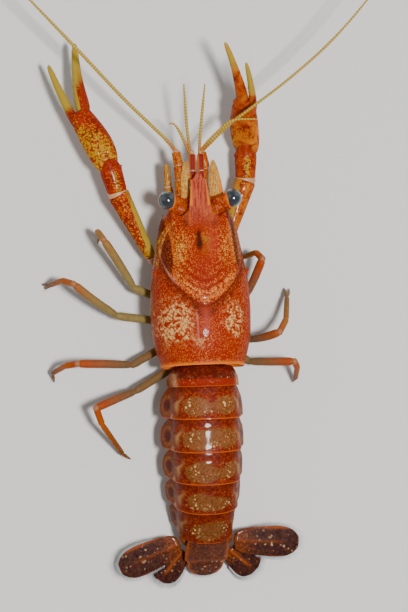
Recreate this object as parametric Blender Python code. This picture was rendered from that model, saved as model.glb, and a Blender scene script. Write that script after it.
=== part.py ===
# Patzcuaro dwarf crayfish, orange form, life size, in a standing pose.
# Lengths below are in millimetres and MM turns them into metres. +Y is the head, +X the
# animal's right side and +Z up. The floor is z = 0. Before the final shift of the whole
# animal y = 0 is the rear margin of the carapace.
import math

import bmesh
import bpy
from mathutils import Vector

MM = 0.001
GAP = 0.3                     # space kept between neighbouring pieces
ORIGIN_SHIFT = (0.0, -10.07)   # brings the middle of the whole animal to x = y = 0

# Carapace
CARAPACE_LENGTH = 17.1
WIDEST_LEVEL = 5.6
GROOVE_Y = 6.5
GROOVE_SWEEP = 8.3
GROOVE_POWER = 1.5
GROOVE_DEPTH = 0.26
GROOVE_HALF_WIDTH = 0.42
HALF_WIDTHS = ((0.0, 4.55), (1.4, 5.05), (3.3, 5.45), (6.3, 5.55), (9.2, 5.4),
               (10.9, 5.1), (13.3, 4.7), (15.5, 4.25), (17.1, 3.7))
TOP_LEVELS = ((0.0, 9.75), (1.4, 10.15), (3.3, 10.4), (6.3, 10.45), (9.2, 10.3),
              (12.0, 9.95), (14.5, 9.3), (17.1, 8.4))
LOWER_LEVELS = ((0.0, 3.1), (9.0, 3.0), (12.0, 3.5), (14.0, 4.1), (17.1, 5.1))
AREOLA_HALF_WIDTH = 1.25
AREOLA_SINK = 0.06

# Rostrum
ROSTRUM = ((14.8, 1.5, 9.0), (16.2, 1.42, 8.8), (17.4, 1.25, 8.6), (18.6, 1.08, 8.38),
           (19.9, 0.95, 8.15), (20.25, 0.92, 8.1), (20.5, 0.5, 8.05), (21.25, 0.14, 7.95))
ROSTRUM_DEPTH = 0.55

# Eyes
EYE_RADIUS = 1.0
EYES = {"L": (-3.45, 18.15, 7.55), "R": (3.8, 18.25, 7.55)}

# Abdomen: y, top level, half width, tilt in degrees at each joint between segments
JOINTS = ((-0.55, 9.3, 3.75, 0.0), (-2.35, 9.45, 3.7, 2.0), (-5.95, 9.35, 3.82, 5.0),
          (-9.6, 9.0, 3.8, 9.0), (-13.1, 8.2, 3.65, 14.0), (-16.3, 6.95, 3.45, 22.0),
          (-19.5, 5.1, 3.0, 34.0))
ARCH_HEIGHT = 3.2
PLEURON_DEPTHS = (1.1, 3.0, 3.0, 2.8, 2.5, 2.0)
PLEURON_FLARE = 0.33
PLEURON_THICKNESS = 0.6
BELLY_DEPTH = 1.2
SWIMMERETS = ((0.7, 40), (2.0, 62), (2.0, 58), (1.7, 45), (1.1, 15))   # length, lean in degrees

# Tail fan
FAN_TILT = 44.0
FAN_ROOT = (0.0, -19.25, 4.6)
TELSON_LENGTH = 5.2
PLATE_THICKNESS = 0.6
OUTER_BLADE_HALF = 1.75
INNER_BLADE_HALF = 1.7
RIB_HEIGHT = 0.16

# Roots of the legs along the breastplate, from the claws backwards
FOOT_LEVEL = -0.06            # middle of a foot's end, which the floor then cuts flat
LEG_ROOT_Y = {1: 10.6, 2: 7.4, 3: 5.2, 4: 3.1, 5: 1.0}
STERNUM_HALF_WIDTH = 2.0
STERNUM_LEVEL = 2.3

# Claws: share of the length, half width and half height along each piece
PALM = ((0.0, 0.84, 0.7), (0.1, 1.2, 0.9), (0.36, 1.55, 1.05), (0.62, 1.46, 1.02),
        (0.86, 1.24, 0.9), (1.0, 1.12, 0.8))
FIXED_FINGER = ((-0.18, 0.5, 0.62), (0.0, 0.5, 0.62), (0.2, 0.45, 0.5), (0.5, 0.38, 0.36),
                (0.9, 0.25, 0.23), (1.0, 0.1, 0.1))
MOVING_FINGER = ((0.0, 0.54, 0.62), (0.1, 0.57, 0.64), (0.28, 0.5, 0.52), (0.55, 0.4, 0.38),
                 (0.92, 0.25, 0.24), (1.0, 0.1, 0.1))
FINGER_BOW = 0.25
# for each side: where the fixed and the moving finger start across the palm, and their widths
FINGER_ROOTS = {"L": (-0.66, 0.55, 1.0, 1.0), "R": (-0.88, 0.3, 0.72, 1.35)}

SHELL = (0.62, 0.10, 0.03)
DARK_SHELL = (0.40, 0.06, 0.02)
LEG_COLOUR = (0.50, 0.20, 0.08)
CLAW = (0.66, 0.20, 0.03)
FEELER = (0.62, 0.42, 0.08)
EYE_COLOUR = (0.03, 0.035, 0.05)
FAN_COLOUR = (0.35, 0.13, 0.08)

for old in list(bpy.data.objects):
    bpy.data.objects.remove(old, do_unlink=True)

model = bpy.data.collections.new("patzcuaro_dwarf_crayfish")
cutters = bpy.data.collections.new("cutters")
bpy.context.scene.collection.children.link(model)
bpy.context.scene.collection.children.link(cutters)
whole = bpy.data.objects.new("crayfish_origin", None)
whole.location = (ORIGIN_SHIFT[0] * MM, ORIGIN_SHIFT[1] * MM, 0.0)
model.objects.link(whole)


def material(name, colour, roughness=0.35):
    made = bpy.data.materials.new(name)
    made.use_nodes = True
    shader = made.node_tree.nodes["Principled BSDF"]
    shader.inputs["Base Color"].default_value = (*colour, 1.0)
    shader.inputs["Roughness"].default_value = roughness
    shader.inputs["Metallic"].default_value = 0.0
    return made


def between(table, place):
    """Value read between the rows of a table of (place, value) pairs."""
    if place <= table[0][0]:
        return table[0][1]
    for (a, low), (b, high) in zip(table, table[1:]):
        if place <= b:
            part = (place - a) / (b - a)
            return low + (high - low) * part
    return table[-1][1]


def add_mesh(name, mesh, colour, roughness=0.35):
    piece = bpy.data.objects.new(name, mesh)
    mesh.materials.append(material(name, colour, roughness))
    mesh.shade_smooth()
    mesh.set_sharp_from_angle(angle=math.radians(40))
    model.objects.link(piece)
    piece.parent = whole
    return piece


def loft(name, rings, colour, roughness=0.35):
    """A closed skin through rings of equally many points, closed flat at each end."""
    bm = bmesh.new()
    rows = []
    for ring in rings:
        rows.append([bm.verts.new(Vector(point) * MM) for point in ring])
    count = len(rows[0])
    for first, second in zip(rows, rows[1:]):
        for i in range(count):
            j = (i + 1) % count
            bm.faces.new((first[i], first[j], second[j], second[i]))
    bm.faces.new(list(reversed(rows[0])))
    bm.faces.new(rows[-1])
    bmesh.ops.recalc_face_normals(bm, faces=bm.faces)
    bmesh.ops.triangulate(bm, faces=bm.faces, ngon_method="EAR_CLIP")
    mesh = bpy.data.meshes.new(name)
    bm.to_mesh(mesh)
    bm.free()
    return add_mesh(name, mesh, colour, roughness)


def ring_about(centre, normal, up, half_width, half_height, sides):
    """An elliptic ring square to the normal, its height along the up direction."""
    normal = Vector(normal).normalized()
    across = normal.cross(Vector(up)).normalized()
    rise = across.cross(normal).normalized()
    ring = []
    for i in range(sides):
        turn = 2 * math.pi * (i + 0.5) / sides
        ring.append(Vector(centre) + across * half_width * math.cos(turn)
                    + rise * half_height * math.sin(turn))
    return ring


def limb(name, stations, colour, sides=8, up=(0, 0, 1), first=None, last=None):
    """A tapering tube through stations of (point, half width, half height).

    first and last are the directions of the end faces where they aren't square to the tube.
    """
    points = [Vector(s[0]) for s in stations]
    rings = []
    for i, (point, half_width, half_height) in enumerate(stations):
        ahead = points[min(i + 1, len(points) - 1)] - points[i]
        behind = points[i] - points[max(i - 1, 0)]
        normal = ahead.normalized() + behind.normalized()
        if i == 0 and first is not None:
            normal = Vector(first)
        if i == len(points) - 1 and last is not None:
            normal = Vector(last)
        rings.append(ring_about(point, normal, up, half_width, half_height, sides))
    return loft(name, rings, colour)


def smooth_path(points, steps):
    """Points read from a smooth curve through the given ones."""
    places = [Vector(p) for p in points]
    ends = [places[0] * 2 - places[1]] + places + [places[-1] * 2 - places[-2]]
    path = []
    for k in range(1, len(ends) - 2):
        a, b, c, d = ends[k - 1:k + 3]
        for step in range(steps):
            t = step / steps
            path.append(0.5 * (2 * b + (c - a) * t + (2 * a - 5 * b + 4 * c - d) * t * t
                               + (3 * b - a - 3 * c + d) * t ** 3))
    path.append(places[-1])
    return path


def feeler(name, points, root_radius, tip_radius, colour, steps=4, sides=6, keep=0.65):
    """A whip that keeps most of its thickness for the share given by keep, then tapers."""
    path = smooth_path(points, steps)
    stations = []
    for i, point in enumerate(path):
        share = i / (len(path) - 1)
        taper = max(0.0, (share - keep) / (1 - keep))
        radius = root_radius + (tip_radius - root_radius) * (0.12 * share + 0.88 * taper)
        stations.append((point, radius, radius))
    return limb(name, stations, colour, sides=sides)


def largest_shell(piece):
    """Keeps only the largest closed surface of a mesh."""
    bm = bmesh.new()
    bm.from_mesh(piece.data)
    left = set(bm.faces)
    shells = []
    while left:
        seed = left.pop()
        shell = {seed}
        edge_of = [seed]
        while edge_of:
            face = edge_of.pop()
            for edge in face.edges:
                for other in edge.link_faces:
                    if other in left:
                        left.discard(other)
                        shell.add(other)
                        edge_of.append(other)
        shells.append(shell)
    shells.sort(key=lambda faces: sum(f.calc_area() for f in faces))
    for shell in shells[:-1]:
        bmesh.ops.delete(bm, geom=list(shell), context="FACES")
    bmesh.ops.delete(bm, geom=[v for v in bm.verts if not v.link_faces], context="VERTS")
    bmesh.ops.triangulate(bm, faces=bm.faces)
    bm.to_mesh(piece.data)
    bm.free()


def combine(piece, others, operation="UNION"):
    """Joins closed pieces to a node, or cuts them from it, by one Boolean."""
    group = bpy.data.collections.new(piece.name + "_tools")
    cutters.children.link(group)
    for other in others:
        model.objects.unlink(other)
        group.objects.link(other)
        other.hide_render = True
        other.display_type = "WIRE"
    tool = piece.modifiers.new(operation.lower(), "BOOLEAN")
    tool.operation = operation
    tool.operand_type = "COLLECTION"
    tool.collection = group
    tool.solver = "EXACT"
    bpy.context.view_layer.update()
    evaluated = piece.evaluated_get(bpy.context.evaluated_depsgraph_get())
    joined = bpy.data.meshes.new_from_object(evaluated)
    piece.modifiers.clear()
    piece.data = joined
    for other in others:
        bpy.data.objects.remove(other, do_unlink=True)
    bpy.data.collections.remove(group)
    largest_shell(piece)
    return piece


def stand_on_floor(piece):
    """Gives a foot its small flat: nothing of it lies below the floor."""
    for vertex in piece.data.vertices:
        vertex.co.z = max(vertex.co.z, 0.0)


def ball(name, centre, radius, colour, segments=20, roughness=0.1):
    bm = bmesh.new()
    bmesh.ops.create_uvsphere(bm, u_segments=segments, v_segments=segments // 2 + 2,
                              radius=radius * MM)
    bmesh.ops.translate(bm, verts=bm.verts, vec=Vector(centre) * MM)
    bmesh.ops.triangulate(bm, faces=bm.faces)
    mesh = bpy.data.meshes.new(name)
    bm.to_mesh(mesh)
    bm.free()
    return add_mesh(name, mesh, colour, roughness)


# Carapace: the head and thorax shell, with the neck groove, rostrum and ridges

def carapace_point(y, turn):
    """Point of the shell at y and at an angle that runs from the right side over the back."""
    half_width = between(HALF_WIDTHS, y)
    top = between(TOP_LEVELS, y)
    low = between(LOWER_LEVELS, y)
    c = math.cos(turn)
    s = math.sin(turn)
    if s >= 0:
        x = half_width * math.copysign(abs(c) ** 0.92, c)
        return x, WIDEST_LEVEL + (top - WIDEST_LEVEL) * s ** 0.92
    x = half_width * math.copysign(abs(c) ** 0.75, c) * (1 + 0.22 * s)
    return x, WIDEST_LEVEL + (WIDEST_LEVEL - low) * -abs(s) ** 0.8


def make_carapace(sides=44):
    groove = 1.0
    steps_behind = (0.0, 0.05, 0.16, 0.32, 0.5, 0.68, 0.84)
    steps_ahead = (0.1, 0.24, 0.4, 0.56, 0.72, 0.86, 0.95, 1.0)
    rows = [(0, share) for share in steps_behind]
    rows += [(1, -groove), (1, 0.0), (1, groove)]
    rows += [(2, share) for share in steps_ahead]
    rings = []
    for zone, share in rows:
        ring = []
        for i in range(sides):
            turn = 2 * math.pi * i / sides
            off_top = min(1.0, abs(math.pi / 2 - turn) / (math.pi / 2)) if turn < math.pi else 1.0
            groove_y = GROOVE_Y + GROOVE_SWEEP * off_top ** GROOVE_POWER
            rear = -0.25 * off_top ** 2
            sink = 0.0
            if zone == 0:
                y = rear + (groove_y - GROOVE_HALF_WIDTH - rear) * share
            elif zone == 1:
                y = groove_y + share * GROOVE_HALF_WIDTH
                sink = GROOVE_DEPTH if share == 0.0 else 0.0
            else:
                start = groove_y + GROOVE_HALF_WIDTH
                y = start + (CARAPACE_LENGTH - start) * share
            x, z = carapace_point(y, turn)
            if math.sin(turn) > -0.2:
                away = Vector((x, 0.0, z - WIDEST_LEVEL)).normalized()
                x -= away.x * sink
                z -= away.z * sink
            if zone == 0 and 0.1 < share < 1 and abs(abs(x) - AREOLA_HALF_WIDTH) < 0.3 and z > 8:
                z -= AREOLA_SINK
            ring.append((x, y, z))
        rings.append(ring)
    shell = loft("carapace", rings, SHELL)

    beak_rings = []
    for y, half, top in ROSTRUM:
        rim = min(0.2, half * 0.3)
        beak_rings.append([
            (0, y, top - rim), (-half * 0.6, y, top - rim * 0.7), (-half * 0.9, y, top),
            (-half, y, top - rim), (-half * 0.8, y, top - ROSTRUM_DEPTH * 0.75),
            (0, y, top - ROSTRUM_DEPTH), (half * 0.8, y, top - ROSTRUM_DEPTH * 0.75),
            (half, y, top - rim), (half * 0.9, y, top), (half * 0.6, y, top - rim * 0.7)])
    extras = [loft("beak", beak_rings, SHELL)]
    for side in (-1, 1):
        extras.append(limb("ridge", [((side * 2.5, 12.6, 9.0), 0.1, 0.1),
                                     ((side * 2.75, 14.4, 8.78), 0.26, 0.24),
                                     ((side * 2.95, 16.2, 8.0), 0.27, 0.26),
                                     ((side * 3.0, 16.95, 7.75), 0.06, 0.06)], SHELL, sides=6))
        extras.append(limb("neck_spine", [((side * 4.75, 9.6, 7.2), 0.3, 0.3),
                                          ((side * 5.2, 10.2, 7.3), 0.16, 0.16),
                                          ((side * 5.35, 10.7, 7.35), 0.05, 0.05)], SHELL, sides=6))
    combine(shell, extras)
    sockets = [ball("socket", EYES[side], EYE_RADIUS + GAP, SHELL, segments=16) for side in "LR"]
    return combine(shell, sockets, "DIFFERENCE")


def make_sternum():
    rings = []
    for y, half, level, depth in ((0.1, 1.2, 2.4, 0.25), (1.0, 1.75, STERNUM_LEVEL, 0.4),
                                  (6.0, STERNUM_HALF_WIDTH, STERNUM_LEVEL, 0.4),
                                  (10.5, STERNUM_HALF_WIDTH, STERNUM_LEVEL, 0.4),
                                  (12.6, 1.5, 2.75, 0.4), (14.6, 1.3, 3.25, 0.5),
                                  (16.4, 1.1, 4.0, 0.5)):
        rings.append(ring_about((0, y, level), (0, 1, 0), (0, 0, 1), half, depth, 12))
    return loft("sternum", rings, LEG_COLOUR)


# Eyes, each a cornea on a short stalk that comes from the socket beside the rostrum

def make_eye(side):
    sign = -1 if side == "L" else 1
    eye = Vector(EYES[side])
    root = Vector((sign * 1.75, 17.85, 7.4))
    outward = (eye - root).normalized()
    stalk_end = eye - outward * 0.75
    limb("eyestalk_" + side, [(root, 0.42, 0.4), (root.lerp(stalk_end, 0.6), 0.55, 0.55),
                              (stalk_end, 0.62, 0.62)], SHELL, sides=10)
    rings = []
    for share in (-0.42, -0.2, 0.1, 0.4, 0.66, 0.86, 0.97):
        radius = EYE_RADIUS * math.sqrt(1 - share ** 2)
        rings.append(ring_about(eye + outward * EYE_RADIUS * share, outward, (0, 0, 1),
                                radius, radius, 18))
    loft("eye_" + side, rings, EYE_COLOUR, 0.1)


# Feelers

def make_antennule(side, base, tips):
    """The small feeler: a stalk of three joints with two whips fused to its end."""
    end = Vector((base[0], 23.3, base[2]))
    stalk = limb("antennule_" + side, [
        ((base[0] * 1.15, 17.45, base[2]), 0.34, 0.36), ((base[0], 19.6, base[2]), 0.35, 0.36),
        ((base[0], 21.6, base[2]), 0.33, 0.34), (end, 0.32, 0.3)], SHELL, sides=8)
    whips = []
    for number, way in enumerate(tips):
        root = end + Vector((way[0][0] - end.x, -0.35, way[0][2] - end.z))
        whips.append(feeler("whip_%d" % number, [root] + list(way), 0.17, 0.09, FEELER,
                            steps=3, sides=6))
    return combine(stalk, whips)


def make_antenna(side, stalk_points, whip_points):
    """The long feeler: its jointed stalk and, as a node of its own, the whip."""
    widths = (0.72, 0.7, 0.58, 0.48)
    stations = [(p, w, w * 0.92) for p, w in zip(stalk_points, widths)]
    last = Vector(whip_points[1]) - Vector(whip_points[0])
    limb("antenna_stalk_" + side, stations, SHELL, sides=10, last=last)
    start = Vector(whip_points[0]) + last.normalized() * GAP
    feeler("antenna_" + side, [start] + list(whip_points[1:]), 0.27, 0.1, FEELER,
           steps=5, sides=6, keep=0.7)


def make_scale(side, centre_line, level, tip_level):
    """The leaf-like scale beside each antenna: a flat blade with a stiff pointed outer edge."""
    rings = []
    count = len(centre_line)
    for i, (x, y, half) in enumerate(centre_line):
        z = level + (tip_level - level) * i / (count - 1)
        rings.append(ring_about((x, y, z), (0, 1, 0), (0, 0, 1), half, 0.25 if half > 0.2 else 0.1, 8))
    loft("antenna_scale_" + side, rings, FEELER)


def make_maxilliped(side, points):
    radii = (0.42, 0.5, 0.5, 0.46, 0.25)
    limb("maxilliped_" + side, [(p, r, r * 0.9) for p, r in zip(points, radii)], LEG_COLOUR, sides=8)


# Abdomen

def somite_ring(joint, size, pleuron, flare):
    """A closed section through a segment: arched back, hanging side lobes and flat belly."""
    y, top, half, tilt = joint
    angle = math.radians(tilt)
    half = half * size
    arch = ARCH_HEIGHT * size
    outline = []
    back_points = 16
    for i in range(back_points + 1):
        turn = math.pi * i / back_points
        c = math.cos(turn)
        outline.append((half * math.copysign(abs(c) ** 0.85, c), arch * math.sin(turn) ** 0.88))
    tip_x = half + flare * pleuron
    inner = half - PLEURON_THICKNESS
    left = [(-half - flare * pleuron * 0.5, -pleuron * 0.5), (-tip_x, -pleuron),
            (-tip_x + PLEURON_THICKNESS * 0.8, -pleuron),
            (-inner - flare * pleuron * 0.3, -pleuron * 0.45 - 0.2),
            (-inner, -min(0.8, pleuron * 0.5)), (-half * 0.45, -BELLY_DEPTH)]
    right = [(-x, z) for x, z in reversed(left)]
    outline += left + [(0.0, -BELLY_DEPTH * 1.05)] + right
    ring = []
    for x, z in outline:
        down = ARCH_HEIGHT - z
        ring.append((x, y + down * math.sin(angle), top - down * math.cos(angle)))
    return ring


def blend_joint(first, second, share):
    return tuple(a + (b - a) * share for a, b in zip(first, second))


def make_somite(number):
    first = JOINTS[number - 1]
    second = JOINTS[number]
    length = first[0] - second[0]
    depth = PLEURON_DEPTHS[number - 1]
    start = (GAP + 0.05) / length if number > 1 else 0.0
    rings = []
    for share, size, lobe in ((start, 0.93, 0.42), (start + 0.1, 0.95, 0.62), (0.3, 0.97, 0.86),
                              (0.55, 0.985, 1.0), (0.78, 1.0, 0.97), (0.9, 1.02, 0.84),
                              (1.0, 1.02, 0.66)):
        rings.append(somite_ring(blend_joint(first, second, share), size, depth * lobe,
                                 PLEURON_FLARE))
    body = loft("somite_%d" % number, rings, SHELL if number % 2 else DARK_SHELL)
    if number == 6:
        return body
    swimmerets = []
    y, top, half, tilt = blend_joint(first, second, 0.5)
    depth_down = ARCH_HEIGHT + BELLY_DEPTH
    belly = Vector((0, y + depth_down * math.sin(math.radians(tilt)),
                    top - depth_down * math.cos(math.radians(tilt))))
    length_down, lean = SWIMMERETS[number - 1]
    for side in (-1, 1):
        for x, spread in ((1.75, 0.4), (1.43, -0.25)):
            root = belly + Vector((side * x, 0.2, 0.55))
            knee = belly + Vector((side * (x + spread * 0.3), 0.1, -0.4))
            tip = knee + Vector((side * spread, -math.sin(math.radians(lean)) * length_down,
                                 -math.cos(math.radians(lean)) * length_down))
            swimmerets.append(limb("swimmeret", [(root, 0.3, 0.3), (knee, 0.28, 0.28),
                                                 (knee.lerp(tip, 0.6), 0.3, 0.2),
                                                 (tip, 0.12, 0.1)], LEG_COLOUR, sides=6,
                                   up=(0, 1, 0.3)))
    return combine(body, swimmerets)


# Tail fan

def fan_point(across, down, lift=0.0):
    tilt = math.radians(FAN_TILT)
    return Vector((across, FAN_ROOT[1] - down * math.cos(tilt) - lift * math.sin(tilt),
                   FAN_ROOT[2] - down * math.sin(tilt) + lift * math.cos(tilt)))


def make_telson():
    rings = []
    for down, half in ((0.35, 2.35), (1.2, 2.45), (2.9, 2.4), (3.1, 2.05), (4.2, 1.95),
                       (4.9, 1.5), (TELSON_LENGTH, 0.8)):
        share = down / TELSON_LENGTH
        ring = []
        for i in range(16):
            turn = 2 * math.pi * i / 16
            c = math.cos(turn)
            s = math.sin(turn)
            lift = s * PLATE_THICKNESS * (0.75 - 0.3 * share) if s > 0 else s * PLATE_THICKNESS * 0.5
            ring.append(fan_point(half * math.copysign(abs(c) ** 0.8, c), down, lift))
        rings.append(ring)
    return loft("telson", rings, FAN_COLOUR)


def make_blade(name, root, tip, half_width, top_side, seam):
    """A tail fan blade: flat, round at its end, with a midrib and, past its seam, a thin flap."""
    root = Vector(root)
    tip = Vector(tip)
    along = (tip - root).normalized()
    up = Vector(top_side).normalized()
    across = along.cross(up).normalized()
    up = across.cross(along).normalized()
    length = (tip - root).length
    half_thick = PLATE_THICKNESS * 0.45
    shape = [(0.0, 0.58, 1.0), (0.12, 0.75, 1.0), (0.35, 0.92, 1.0), (0.6, 1.0, 1.0)]
    if seam:
        shape += [(0.67, 1.0, 1.0), (0.7, 0.98, 0.72)]
    shape += [(0.82, 0.93, 0.72), (0.93, 0.7, 0.6), (1.0, 0.32, 0.4)]
    rings = []
    for share, width, thickness in shape:
        centre = root + along * length * share
        half = half_width * width
        rib = RIB_HEIGHT * (1 - share)
        ring = []
        for a, b in ((1, 0), (0.7, 1), (0.16, 1), (0, 1), (-0.16, 1), (-0.7, 1), (-1, 0),
                     (-0.7, -1), (0, -1), (0.7, -1)):
            thick = half_thick * thickness * b + (rib if a == 0 and b > 0 else 0.0)
            ring.append(centre + across * half * a + up * thick)
        rings.append(ring)
    return loft(name, rings, FAN_COLOUR)


def make_fan_side(side, base, outer_tip, inner_root, inner_tip):
    sign = -1 if side == "L" else 1
    start = Vector(base)
    hip = Vector((sign * 1.9, start.y + 0.55, start.z + 0.1))
    limb("uropod_base_" + side, [(hip, 0.5, 0.4), (start, 0.85, 0.4)], SHELL, sides=8)
    way = (Vector(outer_tip) - start).normalized()
    make_blade("uropod_outer_" + side, start + way * (GAP + 0.25), outer_tip, OUTER_BLADE_HALF,
               (0, -0.15, 1), True)
    make_blade("uropod_inner_" + side, inner_root, inner_tip, INNER_BLADE_HALF, (0, -0.4, 1), False)


# Walking legs

def bisector(before, here, after):
    return ((Vector(here) - Vector(before)).normalized()
            + (Vector(after) - Vector(here)).normalized()).normalized()


def make_leg(side, number, points, pincer):
    """A leg from its root to its foot, in two nodes that meet at the knee.

    points are root, hip joint, middle of the thigh, knee, wrist, ankle and foot.
    """
    sign = -1 if side == "L" else 1
    root, hip, thigh, knee, wrist, ankle, foot = [Vector(p) for p in points]
    turn = bisector(thigh, knee, wrist)
    start = Vector((sign * (STERNUM_HALF_WIDTH + GAP), LEG_ROOT_Y[number], STERNUM_LEVEL))
    upper_end = knee - turn * GAP / 2
    lower_start = knee + turn * GAP / 2
    name = "leg_%d_upper_%s" % (number, side)
    limb(name, [(start, 0.6, 0.36), (root, 0.52, 0.4), (hip, 0.45, 0.46), (thigh, 0.5, 0.52),
                (upper_end, 0.42, 0.42)], LEG_COLOUR, sides=8, first=(sign, 0, 0), last=turn)
    name = "leg_%d_lower_%s" % (number, side)
    if not pincer:
        lower = limb(name, [(lower_start, 0.4, 0.4), (wrist, 0.36, 0.36),
                            (wrist.lerp(ankle, 0.5), 0.29, 0.29), (ankle, 0.25, 0.25),
                            (foot, 0.13, 0.13)], LEG_COLOUR, sides=8, first=turn)
        stand_on_floor(lower)
        return
    palm = ankle.lerp(foot, 0.15)
    lower = limb(name, [(lower_start, 0.4, 0.4), (wrist, 0.36, 0.36),
                        (wrist.lerp(ankle, 0.6), 0.32, 0.32), (palm, 0.34, 0.3),
                        (foot, 0.12, 0.12)], LEG_COLOUR, sides=8, first=turn)
    out = (foot - palm).normalized()
    apart = out.cross(Vector((0, 0, 1)))
    if apart.length < 0.2:
        apart = Vector((1, 0, 0))
    apart.normalize()
    finger_tip = foot + apart * 0.6 + Vector((0, 0, 0.25))
    finger = limb("finger", [(palm - out * 0.3, 0.2, 0.2), (palm + apart * 0.3 + out * 0.25, 0.2, 0.2),
                             (finger_tip, 0.07, 0.07)], LEG_COLOUR, sides=6)
    combine(lower, [finger])
    stand_on_floor(lower)


# Claw arms

def make_arm(side, root, elbow_root, elbow, wrist):
    """Root joint, upper arm and forearm of a claw arm, up to the wrist."""
    sign = -1 if side == "L" else 1
    start = Vector((sign * (STERNUM_HALF_WIDTH + GAP), LEG_ROOT_Y[1], STERNUM_LEVEL + 0.1))
    root = Vector(root)
    elbow_root = Vector(elbow_root)
    elbow = Vector(elbow)
    wrist = Vector(wrist)
    bend = bisector(root, elbow_root, elbow)
    limb("arm_root_" + side, [(start, 0.8, 0.5), (root, 0.75, 0.6),
                              (elbow_root - bend * GAP / 2, 0.62, 0.58)], LEG_COLOUR, sides=10,
         first=(sign, 0, 0), last=bend)
    turn = bisector(elbow_root, elbow, wrist)
    way = elbow - elbow_root
    limb("upper_arm_" + side, [
        (elbow_root + bend * GAP / 2, 0.62, 0.58), (elbow_root + way * 0.3, 0.8, 0.7),
        (elbow_root + way * 0.7, 1.08, 0.84), (elbow_root + way * 0.92, 1.2, 0.9),
        (elbow - turn * GAP / 2, 1.04, 0.8)], CLAW, sides=10, first=bend, last=turn)
    return turn


def make_claw(side, elbow, wrist, turn, along, towards_finger, palm_length, fixed_tip, finger_tip):
    """Forearm, palm with its fixed finger, and the finger that would move."""
    elbow = Vector(elbow)
    wrist = Vector(wrist)
    along = Vector(along).normalized()
    across = Vector(towards_finger)
    across = (across - along * across.dot(along)).normalized()
    up = across.cross(along).normalized()
    if up.z < 0:
        up = -up
    way = wrist - elbow
    bend = (way.normalized() + along).normalized()
    limb("forearm_" + side, [
        (elbow + turn * GAP / 2, 0.88, 0.76), (elbow + way * 0.3, 1.08, 0.9),
        (elbow + way * 0.62, 1.22, 0.97), (elbow + way * 0.86, 1.14, 0.91),
        (wrist - bend * GAP / 2, 0.9, 0.76)], CLAW, sides=12, up=up, first=turn, last=bend)

    def place(u, v, w=0.0):
        return wrist + along * u + across * v + up * w

    palm_stations = []
    for share, width, height in PALM:
        centre = place(palm_length * share, 0.0)
        if share == 0.0:
            centre = wrist + bend * GAP / 2
        palm_stations.append((centre, width, height))
    palm = limb("claw_" + side, palm_stations, CLAW, sides=14, up=up, first=bend, last=along)
    fixed_root, moving_root, fixed_size, moving_size = FINGER_ROOTS[side]
    tip_u, tip_v = fixed_tip
    finger = []
    for share, width, height in FIXED_FINGER:
        u = palm_length + (tip_u - palm_length) * share
        v = fixed_root + (tip_v - fixed_root) * max(0.0, share) ** 1.5
        finger.append((place(u, v), width * fixed_size, height))
    combine(palm, [limb("fixed_finger", finger, CLAW, sides=10, up=up)])

    tip_u, tip_v = finger_tip
    base_u = palm_length + GAP + 0.05
    stations = []
    for share, width, height in MOVING_FINGER:
        u = base_u + (tip_u - base_u) * share
        v = moving_root + (tip_v - moving_root) * share - FINGER_BOW * math.sin(math.pi * share)
        size = moving_size + (1.0 - moving_size) * share
        stations.append((place(u, v), width * size, height))
    limb("claw_finger_" + side, stations, CLAW, sides=10, up=up, first=along)


make_carapace()
make_sternum()
for letter in "LR":
    make_eye(letter)

make_antennule("L", (-0.5, 0, 6.75), (
    ((-0.62, 23.7, 6.8), (-0.95, 26.2, 7.4), (-1.3, 30.9, 8.6)),
    ((-0.8, 23.7, 6.7), (-1.5, 25.3, 6.9), (-2.3, 26.5, 7.3), (-3.0, 26.6, 7.3))))
make_antennule("R", (0.5, 0, 6.75), (
    ((0.42, 23.7, 6.85), (0.6, 26.2, 7.4), (1.05, 30.8, 8.6)),
    ((0.72, 23.8, 6.95), (2.0, 25.2, 8.0), (3.9, 26.6, 9.0), (6.7, 26.7, 9.0))))
make_antenna("L", ((-1.6, 17.45, 5.9), (-1.65, 19.4, 6.05), (-1.8, 21.6, 6.2), (-2.1, 23.6, 6.3)),
             ((-2.1, 23.6, 6.3), (-3.4, 25.1, 6.8), (-7.75, 29.2, 8.0), (-12.66, 34.3, 9.5),
              (-18.0, 39.8, 11.0), (-21.7, 43.6, 12.0)))
make_antenna("R", ((2.3, 17.45, 5.2), (1.9, 19.4, 5.25), (1.3, 21.6, 5.3), (0.85, 23.6, 5.6)),
             ((0.85, 23.6, 5.6), (1.9, 24.6, 6.4), (3.8, 26.4, 8.0), (5.8, 27.8, 9.2),
              (10.1, 30.9, 10.9), (14.5, 34.6, 12.0), (18.6, 39.0, 13.0), (21.7, 43.2, 14.0)))
make_scale("L", ((-1.25, 17.5, 0.45), (-1.25, 18.6, 0.6), (-1.2, 20.4, 0.62), (-1.15, 21.8, 0.5),
                 (-1.1, 22.6, 0.15)), 4.65, 4.85)
make_scale("R", ((2.25, 17.5, 0.7), (2.25, 18.6, 0.85), (2.1, 20.3, 0.75), (2.0, 21.7, 0.5),
                 (2.0, 22.7, 0.12)), 6.25, 6.3)
make_maxilliped("L", ((-1.0, 12.8, 1.9), (-1.7, 15.5, 2.2), (-2.3, 18.0, 3.2), (-2.8, 20.0, 3.9),
                      (-2.9, 22.0, 4.2)))
make_maxilliped("R", ((1.0, 12.8, 1.9), (1.5, 15.5, 2.2), (1.9, 18.0, 2.8), (1.9, 19.6, 2.9),
                      (1.4, 21.0, 2.5)))

for segment in range(1, 7):
    make_somite(segment)
make_telson()
make_fan_side("L", (-2.7, -19.3, 3.05), (-9.55, -22.0, 2.15), (-2.5, -20.1, 1.85),
              (-5.0, -23.5, 0.75))
make_fan_side("R", (2.9, -19.3, 3.05), (10.5, -19.8, 2.75), (2.8, -20.3, 1.85),
              (5.8, -22.8, 0.95))

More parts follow.
